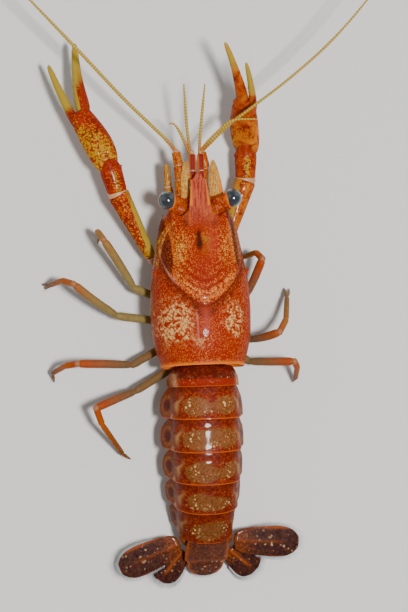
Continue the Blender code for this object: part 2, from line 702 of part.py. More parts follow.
make_arm("L", (-3.4, 11.0, 2.5), (-4.7, 12.0, 2.9), (-8.5, 19.3, 4.7), (-9.45, 22.65, 5.0))
make_claw("L", (-8.5, 19.3, 4.7), (-9.45, 22.65, 5.0),
          bisector((-4.7, 12.0, 2.9), (-8.5, 19.3, 4.7), (-9.45, 22.65, 5.0)),
          (-0.49, 0.865, -0.08), (0.865, 0.49, 0.0), 6.5, (12.8, 0.13), (13.2, 3.8))
make_arm("R", (2.9, 11.3, 2.4), (3.4, 12.7, 2.5), (6.05, 20.6, 3.2), (6.25, 24.1, 3.1))
make_claw("R", (6.05, 20.6, 3.2), (6.25, 24.1, 3.1),
          bisector((3.4, 12.7, 2.5), (6.05, 20.6, 3.2), (6.25, 24.1, 3.1)),
          (-0.08, 0.785, 0.615), (-0.88, 0.1, -0.46), 6.3, (11.2, -0.7), (12.9, 1.7))

make_leg("L", 2, ((-3.4, 7.5, 2.4), (-6.9, 8.9, 3.2), (-8.7, 11.7, 4.5), (-10.4, 14.2, 5.6),
                  (-10.9, 15.2, 4.5), (-10.4, 14.9, 1.8), (-10.0, 14.5, FOOT_LEVEL)), True)
make_leg("L", 3, ((-3.4, 5.1, 2.4), (-8.9, 5.9, 3.3), (-11.6, 7.6, 4.9), (-13.9, 9.4, 5.9),
                  (-15.0, 9.9, 4.6), (-16.1, 9.6, 1.8), (-16.5, 9.3, FOOT_LEVEL)), True)
make_leg("L", 4, ((-3.4, 2.6, 2.4), (-7.4, 0.45, 3.3), (-10.6, 0.6, 4.8), (-13.8, 0.7, 5.7),
                  (-15.0, 0.55, 4.6), (-16.1, -0.1, 1.5), (-15.8, -1.2, FOOT_LEVEL)), False)
make_leg("L", 5, ((-3.3, -0.3, 2.35), (-7.1, -2.4, 3.1), (-9.6, -3.3, 4.5), (-11.9, -4.2, 5.5),
                  (-11.2, -6.0, 4.6), (-8.6, -9.3, 0.9), (-7.5, -10.0, FOOT_LEVEL)), False)
make_leg("R", 2, ((3.4, 7.4, 2.4), (5.7, 7.8, 3.0), (6.5, 9.7, 4.3), (7.2, 11.6, 5.5),
                  (6.7, 12.4, 4.4), (5.7, 12.1, 2.0), (5.0, 11.7, FOOT_LEVEL)), True)
make_leg("R", 3, ((3.4, 4.6, 2.4), (5.9, 2.8, 3.7), (7.3, 3.0, 5.2), (8.6, 3.4, 6.5),
                  (9.6, 4.8, 5.3), (10.4, 7.4, 2.2), (10.5, 8.7, FOOT_LEVEL)), True)
make_leg("R", 4, ((3.3, 2.4, 2.4), (5.6, 0.4, 3.1), (7.9, 0.25, 4.4), (10.3, 0.15, 5.6),
                  (10.8, -0.5, 4.5), (11.1, -1.6, 1.6), (11.0, -2.0, FOOT_LEVEL)), False)
make_leg("R", 5, ((3.0, 0.2, 2.2), (3.1, -2.6, 1.7), (3.3, -4.6, 1.6), (3.5, -6.4, 1.6),
                  (3.5, -7.9, 1.4), (3.3, -10.4, 0.6), (3.1, -11.8, FOOT_LEVEL)), False)
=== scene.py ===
import math

import bpy
import numpy as np
from mathutils import Matrix, Vector


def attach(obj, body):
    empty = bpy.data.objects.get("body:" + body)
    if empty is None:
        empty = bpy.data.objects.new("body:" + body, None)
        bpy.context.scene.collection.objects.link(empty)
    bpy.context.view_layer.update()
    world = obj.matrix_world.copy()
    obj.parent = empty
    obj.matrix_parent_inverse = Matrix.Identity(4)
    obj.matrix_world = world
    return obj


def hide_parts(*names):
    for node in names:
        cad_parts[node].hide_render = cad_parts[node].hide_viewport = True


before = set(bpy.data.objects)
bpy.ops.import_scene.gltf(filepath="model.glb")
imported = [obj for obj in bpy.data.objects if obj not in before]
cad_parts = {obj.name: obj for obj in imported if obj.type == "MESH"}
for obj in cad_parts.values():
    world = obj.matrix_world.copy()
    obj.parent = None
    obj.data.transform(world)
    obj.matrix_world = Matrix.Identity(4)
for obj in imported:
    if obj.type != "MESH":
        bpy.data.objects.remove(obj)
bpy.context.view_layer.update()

# All forms are drawn in millimetres, with y = 0 at the rear margin of the carapace, +y to the head
# and +x to the animal's right. settle() turns them into metres in the shared frame.
originShift = Vector((0.0, -10.07, 0.0))
seeds = np.random.default_rng(7)
bothSides = (("L", -1), ("R", 1))


# Small helpers

def unit(way):
    way = np.array(way, float)
    return way / np.linalg.norm(way)


def rise(value, low, high):
    share = np.clip((np.asarray(value, float) - low) / (high - low), 0, 1)
    return share * share * (3 - 2 * share)


def hump(value, centre, width):
    return np.exp(-((np.asarray(value, float) - centre) / width) ** 2)


def span(value, start, full, fade, end):
    # 0 before start, 1 from full to fade and 0 again past end
    return rise(value, start, full) * (1 - rise(value, fade, end))


def bulge(value, power):
    # rounds a circle's coordinate out towards a square, or in
    return np.sign(value) * np.abs(value) ** power


def held(value):
    return np.clip(value, 0, 1)


def most(*values):
    return np.maximum.reduce(np.broadcast_arrays(*values))


def arrays(*points):
    return [np.array(point, float) for point in points]


def read(table, place, column=1):
    # a table of (place, value, ...) rows
    return np.interp(place, [row[0] for row in table], [row[column] for row in table])


def along(table, place, spread=0.5):
    # the same with the table's corners rounded off
    place = np.asarray(place, float)
    return sum(read(table, place + shift * spread) for shift in (-1, -0.5, 0, 0.5, 1)) / 5


def curve(points, steps):
    # a smooth path through the given points
    spots = arrays(*points)
    ends = [spots[0] * 2 - spots[1]] + spots + [spots[-1] * 2 - spots[-2]]
    path = []
    for k in range(1, len(ends) - 2):
        a, b, c, d = ends[k - 1:k + 3]
        for t in np.arange(steps) / steps:
            path.append(0.5 * (2 * b + (c - a) * t + (2 * a - 5 * b + 4 * c - d) * t * t
                               + (3 * b - a - 3 * c + d) * t ** 3))
    path.append(spots[-1])
    return path


def places(piece):
    spots = np.empty(len(piece.data.vertices) * 3)
    piece.data.vertices.foreach_get("co", spots)
    return spots.reshape(-1, 3)


def pick(*pieces):
    bpy.ops.object.select_all(action="DESELECT")
    for piece in pieces:
        piece.select_set(True)
        bpy.context.view_layer.objects.active = pieces[0]


def openAll():
    bpy.ops.object.mode_set(mode="EDIT")
    bpy.ops.mesh.select_all(action="SELECT")


def applyModifier(piece, kind, **settings):
    pick(piece)
    modifier = piece.modifiers.new(kind.lower(), kind)
    for key, value in settings.items():
        setattr(modifier, key, value)
    bpy.ops.object.modifier_apply(modifier=modifier.name)


def grow(rings, levels=1):
    # a circle is extruded once for each further ring, and each ring is then drawn to its outline
    rings = np.array(rings, float)
    many, count = rings.shape[:2]
    pick()
    bpy.ops.mesh.primitive_circle_add(vertices=count, radius=1)
    piece = bpy.context.object
    openAll()
    for _ in range(many - 1):
        bpy.ops.mesh.extrude_edges_move(TRANSFORM_OT_translate={"value": (0, 0, 1)})
    bpy.ops.object.mode_set(mode="OBJECT")
    spots = places(piece)
    row = np.rint(spots[:, 2]).astype(int)
    turn = np.arctan2(spots[:, 1], spots[:, 0])
    column = np.rint((turn - turn[0]) * count / (2 * math.pi)).astype(int) % count
    piece.data.vertices.foreach_set("co", rings[row, column].ravel())
    openAll()
    bpy.ops.mesh.fill_holes(sides=0)
    bpy.ops.mesh.select_all(action="SELECT")
    bpy.ops.mesh.normals_make_consistent(inside=False)
    bpy.ops.object.mode_set(mode="OBJECT")
    if levels:
        applyModifier(piece, "SUBSURF", levels=levels, render_levels=levels)
    return piece


def ringAbout(centre, normal, up, halfWidth, halfHeight, sides):
    normal = unit(normal)
    across = unit(np.cross(normal, up))
    lift = np.cross(across, normal)
    turn = 2 * math.pi * (np.arange(sides) + 0.5) / sides
    return (np.array(centre, float) + np.outer(np.cos(turn) * halfWidth, across)
            + np.outer(np.sin(turn) * halfHeight, lift))


def tube(stations, sides=12, up=(0, 0, 1), levels=1):
    # stations are (point, half width, half height)
    points = arrays(*(station[0] for station in stations))
    rings = []
    for i, (point, halfWidth, halfHeight) in enumerate(stations):
        ahead = points[min(i + 1, len(points) - 1)] - points[i]
        behind = points[i] - points[max(i - 1, 0)]
        normal = sum(unit(way) for way in (ahead, behind) if np.linalg.norm(way) > 1e-9)
        rings.append(ringAbout(point, normal, up, halfWidth, halfHeight, sides))
    return grow(rings, levels)


def ball(centre, radius, squash=(1, 1, 1), detail=(20, 12)):
    pick()
    bpy.ops.mesh.primitive_uv_sphere_add(segments=detail[0], ring_count=detail[1], radius=radius)
    piece = bpy.context.object
    openAll()
    bpy.ops.transform.resize(value=squash)
    bpy.ops.transform.translate(value=[float(v) for v in centre])
    bpy.ops.object.mode_set(mode="OBJECT")
    return piece


def stretch(start, way, table):
    # stations from rows of (share of the way, half width, half height)
    return [(start + way * share, width, height) for share, width, height in table]


def spike(root, tip, radius):
    root, tip = arrays(root, tip)
    up = (0, 0, 1) if abs(unit(tip - root)[2]) < 0.9 else (0, 1, 0)
    table = [(share, radius * width, radius * width)
             for share, width in ((0, 1), (0.45, 0.62), (0.85, 0.26), (1, 0.07))]
    return tube(stretch(root, tip - root, table), sides=8, up=up)


def join(pieces):
    pick(*pieces)
    bpy.ops.object.join()
    return pieces[0]


def fuse(pieces, grain, rounds=4):
    # one skin over several overlapping forms, with its steps smoothed off
    piece = join(pieces)
    applyModifier(piece, "REMESH", mode="VOXEL", voxel_size=grain, adaptivity=0.0)
    applyModifier(piece, "SMOOTH", factor=0.6, iterations=rounds)
    return piece


bristleWidths = {"scale": 0.025, "mouth": 0.022, "swimmeret": 0.02, "fan": 0.03, "hand": 0.018, "leg": 0.016}


def bristles(roots, ways, lengths, kind):
    # one bristle is modelled and copied to every root
    pick()
    bpy.ops.mesh.primitive_cone_add(vertices=3, radius1=1, radius2=0, depth=1, location=(0, 0, 0.5))
    model = bpy.context.object
    bpy.ops.object.transform_apply(location=True)
    spots = places(model)
    faces = [list(face.vertices) for face in model.data.polygons]
    allSpots, allFaces = [], []
    for i, (root, way, length) in enumerate(zip(roots, ways, lengths)):
        way = unit(way)
        side = unit(np.cross(way, (0.3, 0.1, 1)))
        lift = np.cross(side, way)
        width = bristleWidths[kind]
        cone = spots * (width, width, length) @ np.stack((side, lift, way))
        allSpots.append(cone + np.array(root, float))
        allFaces += [[v + i * len(spots) for v in face] for face in faces]
    tuft = bpy.data.meshes.new("bristles")
    tuft.from_pydata(np.vstack(allSpots).tolist(), [], allFaces)
    old = model.data
    model.data = tuft
    bpy.data.meshes.remove(old)
    return model


def flatten(piece):
    # nothing may reach below the floor
    spots = places(piece)
    spots[:, 2] = np.maximum(spots[:, 2], 0)
    piece.data.vertices.foreach_set("co", spots.ravel())
    return piece


def settle(piece, name, material, nodes=(), marks=None):
    # names a finished piece, brings it to its place in metres and hands it to the frame
    piece.name = piece.data.name = name
    if marks:
        for mark, values in marks(places(piece)).items():
            layer = piece.data.attributes.new(mark, "FLOAT", "POINT")
            layer.data.foreach_set("value", np.broadcast_to(values, len(piece.data.vertices)).astype(float))
    piece.data.transform(Matrix.Scale(0.001, 4) @ Matrix.Translation(originShift))
    piece.data.materials.clear()
    piece.data.materials.append(material)
    pick(piece)
    bpy.ops.object.shade_smooth()
    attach(piece, "root")
    if nodes:
        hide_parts(*nodes)


# Shader helpers

def isSocket(value):
    return isinstance(value, bpy.types.NodeSocket)


def plug(node, sockets):
    # a socket is linked and a plain value is set
    for key, value in sockets.items():
        if isSocket(value):
            node.id_data.links.new(value, node.inputs[key])
        else:
            node.inputs[key].default_value = value
    return node


def addNode(tree, kind, sockets=None, **settings):
    node = tree.nodes.new(kind)
    for key, value in settings.items():
        setattr(node, key, value)
    return plug(node, sockets or {})


def sums(operation):
    # one kind of maths node; the socket among its values says which tree it goes in
    def made(first, second=0.0, clamp=False):
        tree = (first if isSocket(first) else second).id_data
        return addNode(tree, "ShaderNodeMath", {0: first, 1: second}, operation=operation,
                       use_clamp=clamp).outputs[0]
    return made


times, plus, minus, over, swing, absolute = (sums(operation) for operation in (
    "MULTIPLY", "ADD", "SUBTRACT", "DIVIDE", "PINGPONG", "ABSOLUTE"))


def vectors(operation, *values, **sockets):
    return addNode(values[0].id_data, "ShaderNodeVectorMath", {**dict(enumerate(values)), **sockets},
                   operation=operation).outputs[0]


def texture(kind, spot, sockets, **settings):
    return addNode(spot.id_data, "ShaderNodeTex" + kind, {"Vector": spot, **sockets}, **settings).outputs


def band(value, low, high):
    # 0 below low and 1 above high, with a soft step between
    return addNode(value.id_data, "ShaderNodeMapRange", {"Value": value, "From Min": low, "From Max": high},
                   interpolation_type="SMOOTHSTEP").outputs["Result"]


def bump(height, strength, distance, **sockets):
    return addNode(height.id_data, "ShaderNodeBump", {
        "Height": height, "Strength": strength, "Distance": distance, **sockets}).outputs["Normal"]


def paint(colour, *coats):
    # lays coats of (colour, mask) over a first colour
    def ready(value):
        return value if isSocket(value) else (*value, 1.0)
    for above, mask in coats:
        colour = addNode(mask.id_data, "ShaderNodeMix", {0: mask, 6: ready(colour), 7: ready(above)},
                         data_type="RGBA").outputs[2]
    return colour


def millimetres(tree):
    return vectors("SCALE", addNode(tree, "ShaderNodeTexCoord").outputs["Object"], Scale=1000.0)


def newGroup(name, values, results, kind="Float"):
    # a group that reads a place and some numbers
    tree = bpy.data.node_groups.new(name, "ShaderNodeTree")
    tree.interface.new_socket("Vector", in_out="INPUT", socket_type="NodeSocketVector")
    for label, value in values.items():
        socket = tree.interface.new_socket(label, in_out="INPUT", socket_type="NodeSocketFloat")
        socket.default_value = value
    for label in results:
        tree.interface.new_socket(label, in_out="OUTPUT", socket_type="NodeSocket" + kind)
    return tree, tree.nodes.new("NodeGroupInput").outputs, tree.nodes.new("NodeGroupOutput")


def useGroup(group, spot, **values):
    node = spot.id_data.nodes.new("ShaderNodeGroup")
    node.node_tree = group
    return plug(node, {"Vector": spot, **values}).outputs


def makeVermiculation():
    # pale dots that run together into worm-like rows on a darker net, more of them the higher the cover
    group, given, result = newGroup("vermiculation", {"Size": 0.3, "Warp": 0.4, "Cover": 0.5},
                                    ("Dots", "Grain"))
    spot = given["Vector"]
    frequency = over(1.0, given["Size"])
    slow = times(frequency, 0.6)
    drift = texture("Noise", spot, {"Scale": slow, "Detail": 2.0})["Color"]
    drift = vectors("SUBTRACT", drift, (0.5, 0.5, 0.5))
    drift = vectors("SCALE", drift, Scale=times(times(given["Warp"], given["Size"]), 6.0))
    cells = texture("Voronoi", vectors("ADD", spot, drift), {"Scale": frequency, "Randomness": 0.9},
                    feature="SMOOTH_F1")
    cells["Distance"].node.inputs["Smoothness"].default_value = 0.3
    outer = plus(times(given["Cover"], 0.5), 0.3)
    grain = texture("Noise", spot, {"Scale": slow, "Detail": 4.0, "Roughness": 0.7})["Fac"]
    plug(result, {"Dots": band(cells["Distance"], outer, minus(outer, 0.2)), "Grain": grain})
    return group


def makePatches():
    # irregular patches of one size, more of them the higher the cover
    group, given, result = newGroup("patches", {"Size": 1.0, "Cover": 0.5, "Edge": 0.06}, ("Mask",))
    clouds = texture("Noise", given["Vector"], {"Scale": over(1.0, given["Size"]), "Detail": 3.0,
                                                "Roughness": 0.6, "Distortion": 0.6})["Fac"]
    level = addNode(group, "ShaderNodeMapRange", {"Value": minus(1.0, given["Cover"]), "To Min": 0.25,
                                                  "To Max": 0.75}).outputs[0]
    plug(result, {"Mask": band(clouds, minus(level, given["Edge"]), plus(level, given["Edge"]))})
    return group


def makeRelief():
    # the fine pits and swellings of chitin, as a normal
    group, given, result = newGroup("relief", {"Pits": 0.4, "Waves": 0.3, "Size": 0.3}, ("Normal",), "Vector")
    pits = texture("Voronoi", given["Vector"], {"Scale": over(1.0, given["Size"])})["Distance"]
    pitted = bump(band(pits, 0.05, 0.4), given["Pits"], 0.00003)
    waves = texture("Noise", given["Vector"], {"Scale": 1.6, "Detail": 5.0, "Roughness": 0.6})["Fac"]
    plug(result, {"Normal": bump(waves, given["Waves"], 0.00025, Normal=pitted)})
    return group


vermiculation = makeVermiculation()
patches = makePatches()
relief = makeRelief()


def startMaterial(name):
    material = bpy.data.materials.new(name)
    material.use_nodes = True
    tree = material.node_tree
    return material, tree, next(node for node in tree.nodes if node.type == "BSDF_PRINCIPLED")


def markReader(tree):
    def mark(name):
        return addNode(tree, "ShaderNodeAttribute", attribute_name=name).outputs["Fac"]
    return mark


def makeShell(name, look, pattern):
    # the wet, slightly glassy surface that all shell parts share, with the pattern of one of them
    material, tree, shader = startMaterial(name)
    spot = millimetres(tree)
    plug(shader, {
        "Normal": useGroup(relief, spot, Pits=look["pits"], Waves=look["waves"])["Normal"],
        "Roughness": look["roughness"], "Specular IOR Level": 0.07, "Coat Weight": look["coat"],
        "Coat Roughness": 0.07, "Subsurface Weight": look["glow"], "Subsurface Radius": (1.0, 0.35, 0.15),
        "Subsurface Scale": 0.0006, **pattern(spot, markReader(tree), look)})
    return material


def specks(spot, mark, clumps, scale, sizes, soft):
    # pale points, larger inside the clumps
    size = plus(times(clumps, sizes[1]), sizes[0])
    cells = texture("Voronoi", spot, {"Scale": scale, "Randomness": 1.0})["Distance"]
    return times(band(cells, size, minus(size, soft)), mark("fleck"))


shellLook = {
    "red": (0.30, 0.014, 0.001), "orange": (0.86, 0.27, 0.045), "deep": (0.095, 0.007, 0.0005),
    "pink": (0.46, 0.05, 0.02), "cream": (0.78, 0.43, 0.14), "olive": (0.42, 0.24, 0.01),
    "rim": (0.90, 0.20, 0.012), "chevron": (0.24, 0.010, 0.001), "field": (0.85, 0.42, 0.03),
    "beak": (0.66, 0.17, 0.085), "vein": (0.22, 0.012, 0.010), "halo": (0.40, 0.20, 0.01),
    "spot": (0.05, 0.007, 0.003), "pale": (0.92, 0.55, 0.42),
    "pits": 0.5, "waves": 0.25, "roughness": 0.5, "glow": 0.02, "coat": 0.06}


def shellPattern(spot, mark, look):
    bright, beak = mark("bright"), mark("beak")
    fine = useGroup(vermiculation, spot, Size=0.18, Warp=0.5, Cover=times(bright, 0.62))
    coarse = useGroup(vermiculation, spot, Size=0.27, Warp=0.3, Cover=0.62)["Dots"]
    dots, grain = fine["Dots"], minus(fine["Grain"], 0.5)
    broad = useGroup(patches, spot, Size=1.7, Edge=0.12)["Mask"]
    waves = swing(plus(over(mark("ring"), 0.9), times(broad, 0.25)), 0.5)
    dark = band(plus(mark("dark"), times(grain, 0.8)), 0.3, 0.75)
    # the cream network with red holes behind the groove
    bent = texture("Noise", spot, {"Scale": 1.6, "Detail": 2.0})["Color"]
    bent = vectors("MULTIPLY_ADD", bent, (0.7, 0.7, 0.7), spot)
    net = texture("Voronoi", bent, {"Scale": 1.15}, feature="DISTANCE_TO_EDGE")["Distance"]
    net = band(net, 0.24, 0.12)
    clumps = useGroup(patches, spot, Size=0.8, Edge=0.12)["Mask"]
    area = band(plus(mark("mottle"), times(clumps, 0.3)), 0.45, 0.95)
    edge = band(plus(mark("margin"), times(grain, 1.6)), 0.45, 0.8)
    lengthwise = vectors("MULTIPLY", spot, (4.0, 0.45, 1.0))
    veins = band(texture("Noise", lengthwise, {"Scale": 1.5, "Detail": 3.0})["Fac"], 0.46, 0.6)
    return {"Base Color": paint(
        look["red"],
        (look["orange"], times(dots, minus(bright, times(broad, 0.22)), True)),
        (look["chevron"], times(times(band(waves, 0.3, 0.1), mark("chevron")), 0.85)),
        (look["field"], times(times(dots, mark("field")), 0.75)),
        (look["deep"], times(dark, minus(0.95, times(dots, 0.4)))),
        (look["pink"], times(mark("smooth"), minus(0.85, times(dots, 0.3)))),
        (look["beak"], times(beak, 0.32)),
        (look["red"], times(times(minus(1.0, net), area), 0.8)),
        (look["cream"], times(times(net, area), plus(times(coarse, 0.8), 0.08), True)),
        (look["olive"], times(edge, plus(times(coarse, 0.6), 0.3))),
        (look["vein"], times(times(veins, beak), 0.75)),
        (look["rim"], mark("rim")),
        # painted shade: the deep colour laid along the bottom of the neck groove
        (look["deep"], times(mark("groove"), 0.6)),
        (look["halo"], times(mark("halo"), plus(times(coarse, 0.6), 0.2))),
        (look["spot"], times(mark("spot"), 0.95)),
        (look["pale"], mark("pale")))}


abdomenLook = {
    "red": (0.16, 0.008, 0.001), "orange": (0.46, 0.065, 0.002), "tan": (0.155, 0.056, 0.009),
    "paleTan": (0.31, 0.105, 0.033), "olive": (0.16, 0.075, 0.006), "cream": (0.85, 0.58, 0.22),
    "deep": (0.07, 0.005, 0.001), "rim": (0.62, 0.11, 0.006), "stripe": (0.60, 0.36, 0.12),
    "side": (0.16, 0.030, 0.003), "sideRing": (0.52, 0.24, 0.03), "sideSpot": (0.09, 0.004, 0.001),
    "sash": (0.30, 0.013, 0.003), "shade": (0.03, 0.006, 0.001), "hinge": (0.62, 0.28, 0.10),
    "belly": (0.45, 0.20, 0.08), "pits": 0.25, "waves": 0.3, "roughness": 0.45, "glow": 0.02, "coat": 0.1}


def abdomenPattern(spot, mark, look):
    fine = useGroup(vermiculation, spot, Size=0.26, Warp=0.5)
    dots, grain = fine["Dots"], minus(fine["Grain"], 0.5)
    clumps = useGroup(patches, spot, Size=0.9, Edge=0.12)["Mask"]
    pores = useGroup(vermiculation, spot, Size=0.2, Warp=0.2, Cover=0.7)["Dots"]
    ovals = minus(plus(mark("oval"), times(grain, 0.7)), times(clumps, 0.36))
    side = mark("side")
    colour = paint(
        look["red"],
        (look["orange"], times(dots, 0.5)),
        (paint(look["tan"], (look["paleTan"], times(pores, 0.7))), times(band(ovals, 0.2, 0.65), 0.85)),
        (look["olive"], times(band(absolute(minus(ovals, 0.45)), 0.2, 0.0), 0.35)),
        (look["cream"], times(specks(spot, mark, clumps, 2.9, (0.2, 0.27), 0.14), 0.9)),
        (look["stripe"], times(mark("stripe"), plus(times(fine["Grain"], 0.9), 0.1))),
        (look["side"], times(times(side, 0.7), minus(1.0, times(dots, 0.7)))),
        (look["sideRing"], times(times(mark("sideRing"), pores), 0.5)),
        (look["sideSpot"], mark("sideSpot")),
        (look["sash"], times(mark("sash"), 0.7)),
        (look["deep"], times(mark("front"), plus(times(clumps, 0.6), 0.2))),
        (look["shade"], mark("shade")),
        (look["rim"], mark("rear")),
        (look["hinge"], times(mark("hinge"), plus(times(pores, 0.6), 0.35))),
        (look["belly"], mark("belly")))
    return {"Base Color": colour, "Coat Weight": minus(look["coat"], times(side, 0.13))}


fanLook = {
    "brown": (0.048, 0.016, 0.009), "orange": (0.40, 0.075, 0.006), "purple": (0.026, 0.006, 0.008),
    "rust": (0.11, 0.023, 0.005), "cream": (0.75, 0.50, 0.24),
    "pits": 0.2, "waves": 0.35, "roughness": 0.45, "glow": 0.02, "coat": 0.14}


def fanPattern(spot, mark, look):
    fine = useGroup(vermiculation, spot, Size=0.3, Warp=0.5)
    clumps = useGroup(patches, spot, Size=1.1, Edge=0.1)["Mask"]
    warm = mark("warm")
    return {"Base Color": paint(
        look["brown"],
        (look["purple"], band(fine["Grain"], 0.4, 0.6)),
        (look["rust"], band(plus(warm, times(minus(fine["Grain"], 0.5), 0.8)), 0.1, 1.0)),
        (look["orange"], times(fine["Dots"], plus(times(warm, 0.3), 0.1))),
        (look["cream"], times(specks(spot, mark, clumps, 1.9, (0.14, 0.2), 0.12), 0.6)),
        (look["orange"], times(mark("edge"), 0.75)),
        (look["orange"], times(mark("rib"), 0.7)))}


clawLook = {
    "red": (0.36, 0.024, 0.003), "deep": (0.19, 0.008, 0.002), "orange": (0.72, 0.13, 0.004),
    "yellow": (0.53, 0.285, 0.001), "tip": (0.42, 0.31, 0.030), "streak": (0.27, 0.017, 0.004),
    "warm": (0.74, 0.23, 0.014), "worms": 0.25,
    "pits": 0.4, "waves": 0.3, "roughness": 0.45, "glow": 0.02, "coat": 0.12}


def clawPattern(spot, mark, look):
    yellow = mark("yellow")
    fine = useGroup(vermiculation, spot, Size=look["worms"], Warp=0.55, Cover=yellow)
    broad = useGroup(patches, spot, Size=1.1, Edge=0.2)["Mask"]
    worms = paint(look["orange"], (look["yellow"], band(yellow, 0.1, 0.45)))
    tips = band(plus(mark("finger"), times(minus(fine["Grain"], 0.5), 0.5)), 0.35, 0.8)
    return {"Base Color": paint(
        look["red"],
        (look["deep"], broad),
        (worms, times(fine["Dots"], 0.9)),
        (look["tip"], times(tips, 0.85)),
        (look["streak"], times(mark("streak"), 0.75)),
        (look["warm"], times(mark("warm"), minus(1.0, broad))))}


# the leg's colours run from its root to its foot; the greyish pink at 0.28 is a painted sheen on the upper leg
legLook = {
    "run": ((0.0, (0.10, 0.053, 0.008)), (0.28, (0.13, 0.064, 0.042)), (0.44, (0.36, 0.030, 0.002)),
            (0.62, (0.38, 0.080, 0.004)), (0.8, (0.16, 0.050, 0.006)), (1.0, (0.10, 0.053, 0.008))),
    # the green is painted light from the backdrop showing through the leg
    "orange": (0.38, 0.080, 0.004), "green": (0.27, 0.21, 0.06),
    "pits": 0.2, "waves": 0.3, "roughness": 0.4, "glow": 0.03, "coat": 0.12}


def legPattern(spot, mark, look):
    fine = useGroup(vermiculation, spot, Size=0.3, Warp=0.5)
    ramp = addNode(spot.id_data, "ShaderNodeValToRGB", {"Fac": mark("limb")})
    for position, colour in look["run"][1:-1]:
        ramp.color_ramp.elements.new(position)
    for element, (position, colour) in zip(ramp.color_ramp.elements, look["run"]):
        element.position = position
        element.color = (*colour, 1.0)
    clouds = plus(times(fine["Grain"], 1.2), 0.2)
    return {"Base Color": paint(
        ramp.outputs["Color"],
        (look["orange"], times(fine["Dots"], 0.35)),
        # painted backdrop light: green showing through the leg where its pale mark is high
        (look["green"], times(mark("pale"), clouds, True)))}


stalkLook = {"edge": (0.80, 0.17, 0.006), "pits": 0.3, "waves": 0.3, "roughness": 0.4, "glow": 0.03,
             "coat": 0.1}


def makeStalkMaterial(name, base, veins, amount, stretch=(1, 1, 1)):
    def pattern(spot, mark, look):
        fine = useGroup(vermiculation, vectors("MULTIPLY", spot, stretch), Size=0.26, Warp=0.7)
        return {"Base Color": paint(base, (veins, times(fine["Dots"], amount)),
                                    (look["edge"], times(mark("edge"), 0.85)))}
    return makeShell(name, stalkLook, pattern)


feelerLook = {"yellow": (0.54, 0.38, 0.03), "ring": (0.26, 0.08, 0.012), "root": (0.40, 0.09, 0.008),
              "pitch": 0.34}


def makeFeelerMaterial():
    material, tree, shader = startMaterial("feeler_rings")
    mark = markReader(tree)
    wave = swing(over(mark("length"), feelerLook["pitch"]), 0.5)
    colour = paint(feelerLook["yellow"], (feelerLook["ring"], times(band(wave, 0.26, 0.4), 0.8)),
                   (feelerLook["root"], mark("root")))
    plug(shader, {"Base Color": colour, "Roughness": 0.45, "Specular IOR Level": 0.3,
                  "Subsurface Weight": 0.2, "Subsurface Scale": 0.0003})
    return material


# the eye's own dark colour, and a painted reflection that lightens it towards its rim
eyeLook = {"deep": (0.018, 0.022, 0.028), "rimReflection": (0.10, 0.14, 0.17)}


def makeEyeMaterial():
    material, tree, shader = startMaterial("eye_cornea")
    facets = texture("Voronoi", millimetres(tree), {"Scale": 16.0}, feature="DISTANCE_TO_EDGE")["Distance"]
    # painted reflection: the rim colour is mixed in where the cornea is seen at a glancing angle
    rimReflection = addNode(tree, "ShaderNodeLayerWeight", {"Blend": 0.35}).outputs["Facing"]
    plug(shader, {"Base Color": paint(eyeLook["deep"], (eyeLook["rimReflection"], rimReflection)),
                  "Normal": bump(band(facets, 0.0, 0.12), 0.12, 0.00001),
                  "Roughness": 0.16, "Coat Weight": 1.0, "Coat Roughness": 0.03})
    return material


def makePlainMaterial(name, colour, roughness, glow):
    material, tree, shader = startMaterial(name)
    clouds = texture("Noise", millimetres(tree), {"Scale": 3.0, "Detail": 3.0})["Fac"]
    plug(shader, {"Base Color": paint(colour, ([c * 0.7 for c in colour], clouds)),
                  "Roughness": roughness, "Subsurface Weight": glow, "Subsurface Scale": 0.0004})
    return material


shellMaterial = makeShell("shell_carapace", shellLook, shellPattern)
abdomenMaterial = makeShell("shell_abdomen", abdomenLook, abdomenPattern)
fanMaterial = makeShell("shell_tail_fan", fanLook, fanPattern)
clawMaterial = makeShell("shell_claw", clawLook, clawPattern)
legMaterial = makeShell("shell_leg", legLook, legPattern)
feelerMaterial = makeFeelerMaterial()
# ground colour, colour of the worm lines, how much of them, and how they are drawn out
antennaMaterial = makeStalkMaterial(
    "antenna_stalk", (0.36, 0.028, 0.002), (0.62, 0.30, 0.01), 0.7, (1.5, 1.2, 1.5))
mouthMaterial = makeStalkMaterial(
    "mouth_leg", (0.34, 0.10, 0.012), (0.50, 0.33, 0.05), 0.8, (1.5, 0.5, 1.5))
antennuleMaterial = makeStalkMaterial(
    "antennule_stalk", (0.20, 0.014, 0.012), (0.24, 0.011, 0.002), 0.5)
browMaterial = makeStalkMaterial(
    "eye_stalk", (0.26, 0.018, 0.002), (0.58, 0.13, 0.008), 0.75, (1.3, 0.6, 1.0))
scaleMaterial = makeStalkMaterial(
    "antenna_scale", (0.46, 0.15, 0.02), (0.64, 0.46, 0.09), 0.9, (3.5, 0.5, 1.0))
eyeMaterial = makeEyeMaterial()
membraneMaterial = makePlainMaterial("joint_membrane", (0.66, 0.32, 0.15), 0.45, 0.1)
legSkinMaterial = makePlainMaterial("leg_skin", (0.44, 0.15, 0.045), 0.45, 0.1)
bristleMaterial = makePlainMaterial("bristle", (0.72, 0.72, 0.66), 0.5, 0.3)
paleBristleMaterial = makePlainMaterial("fan_bristle", (0.62, 0.70, 0.74), 0.5, 0.3)
print("materials made")


# Carapace with rostrum

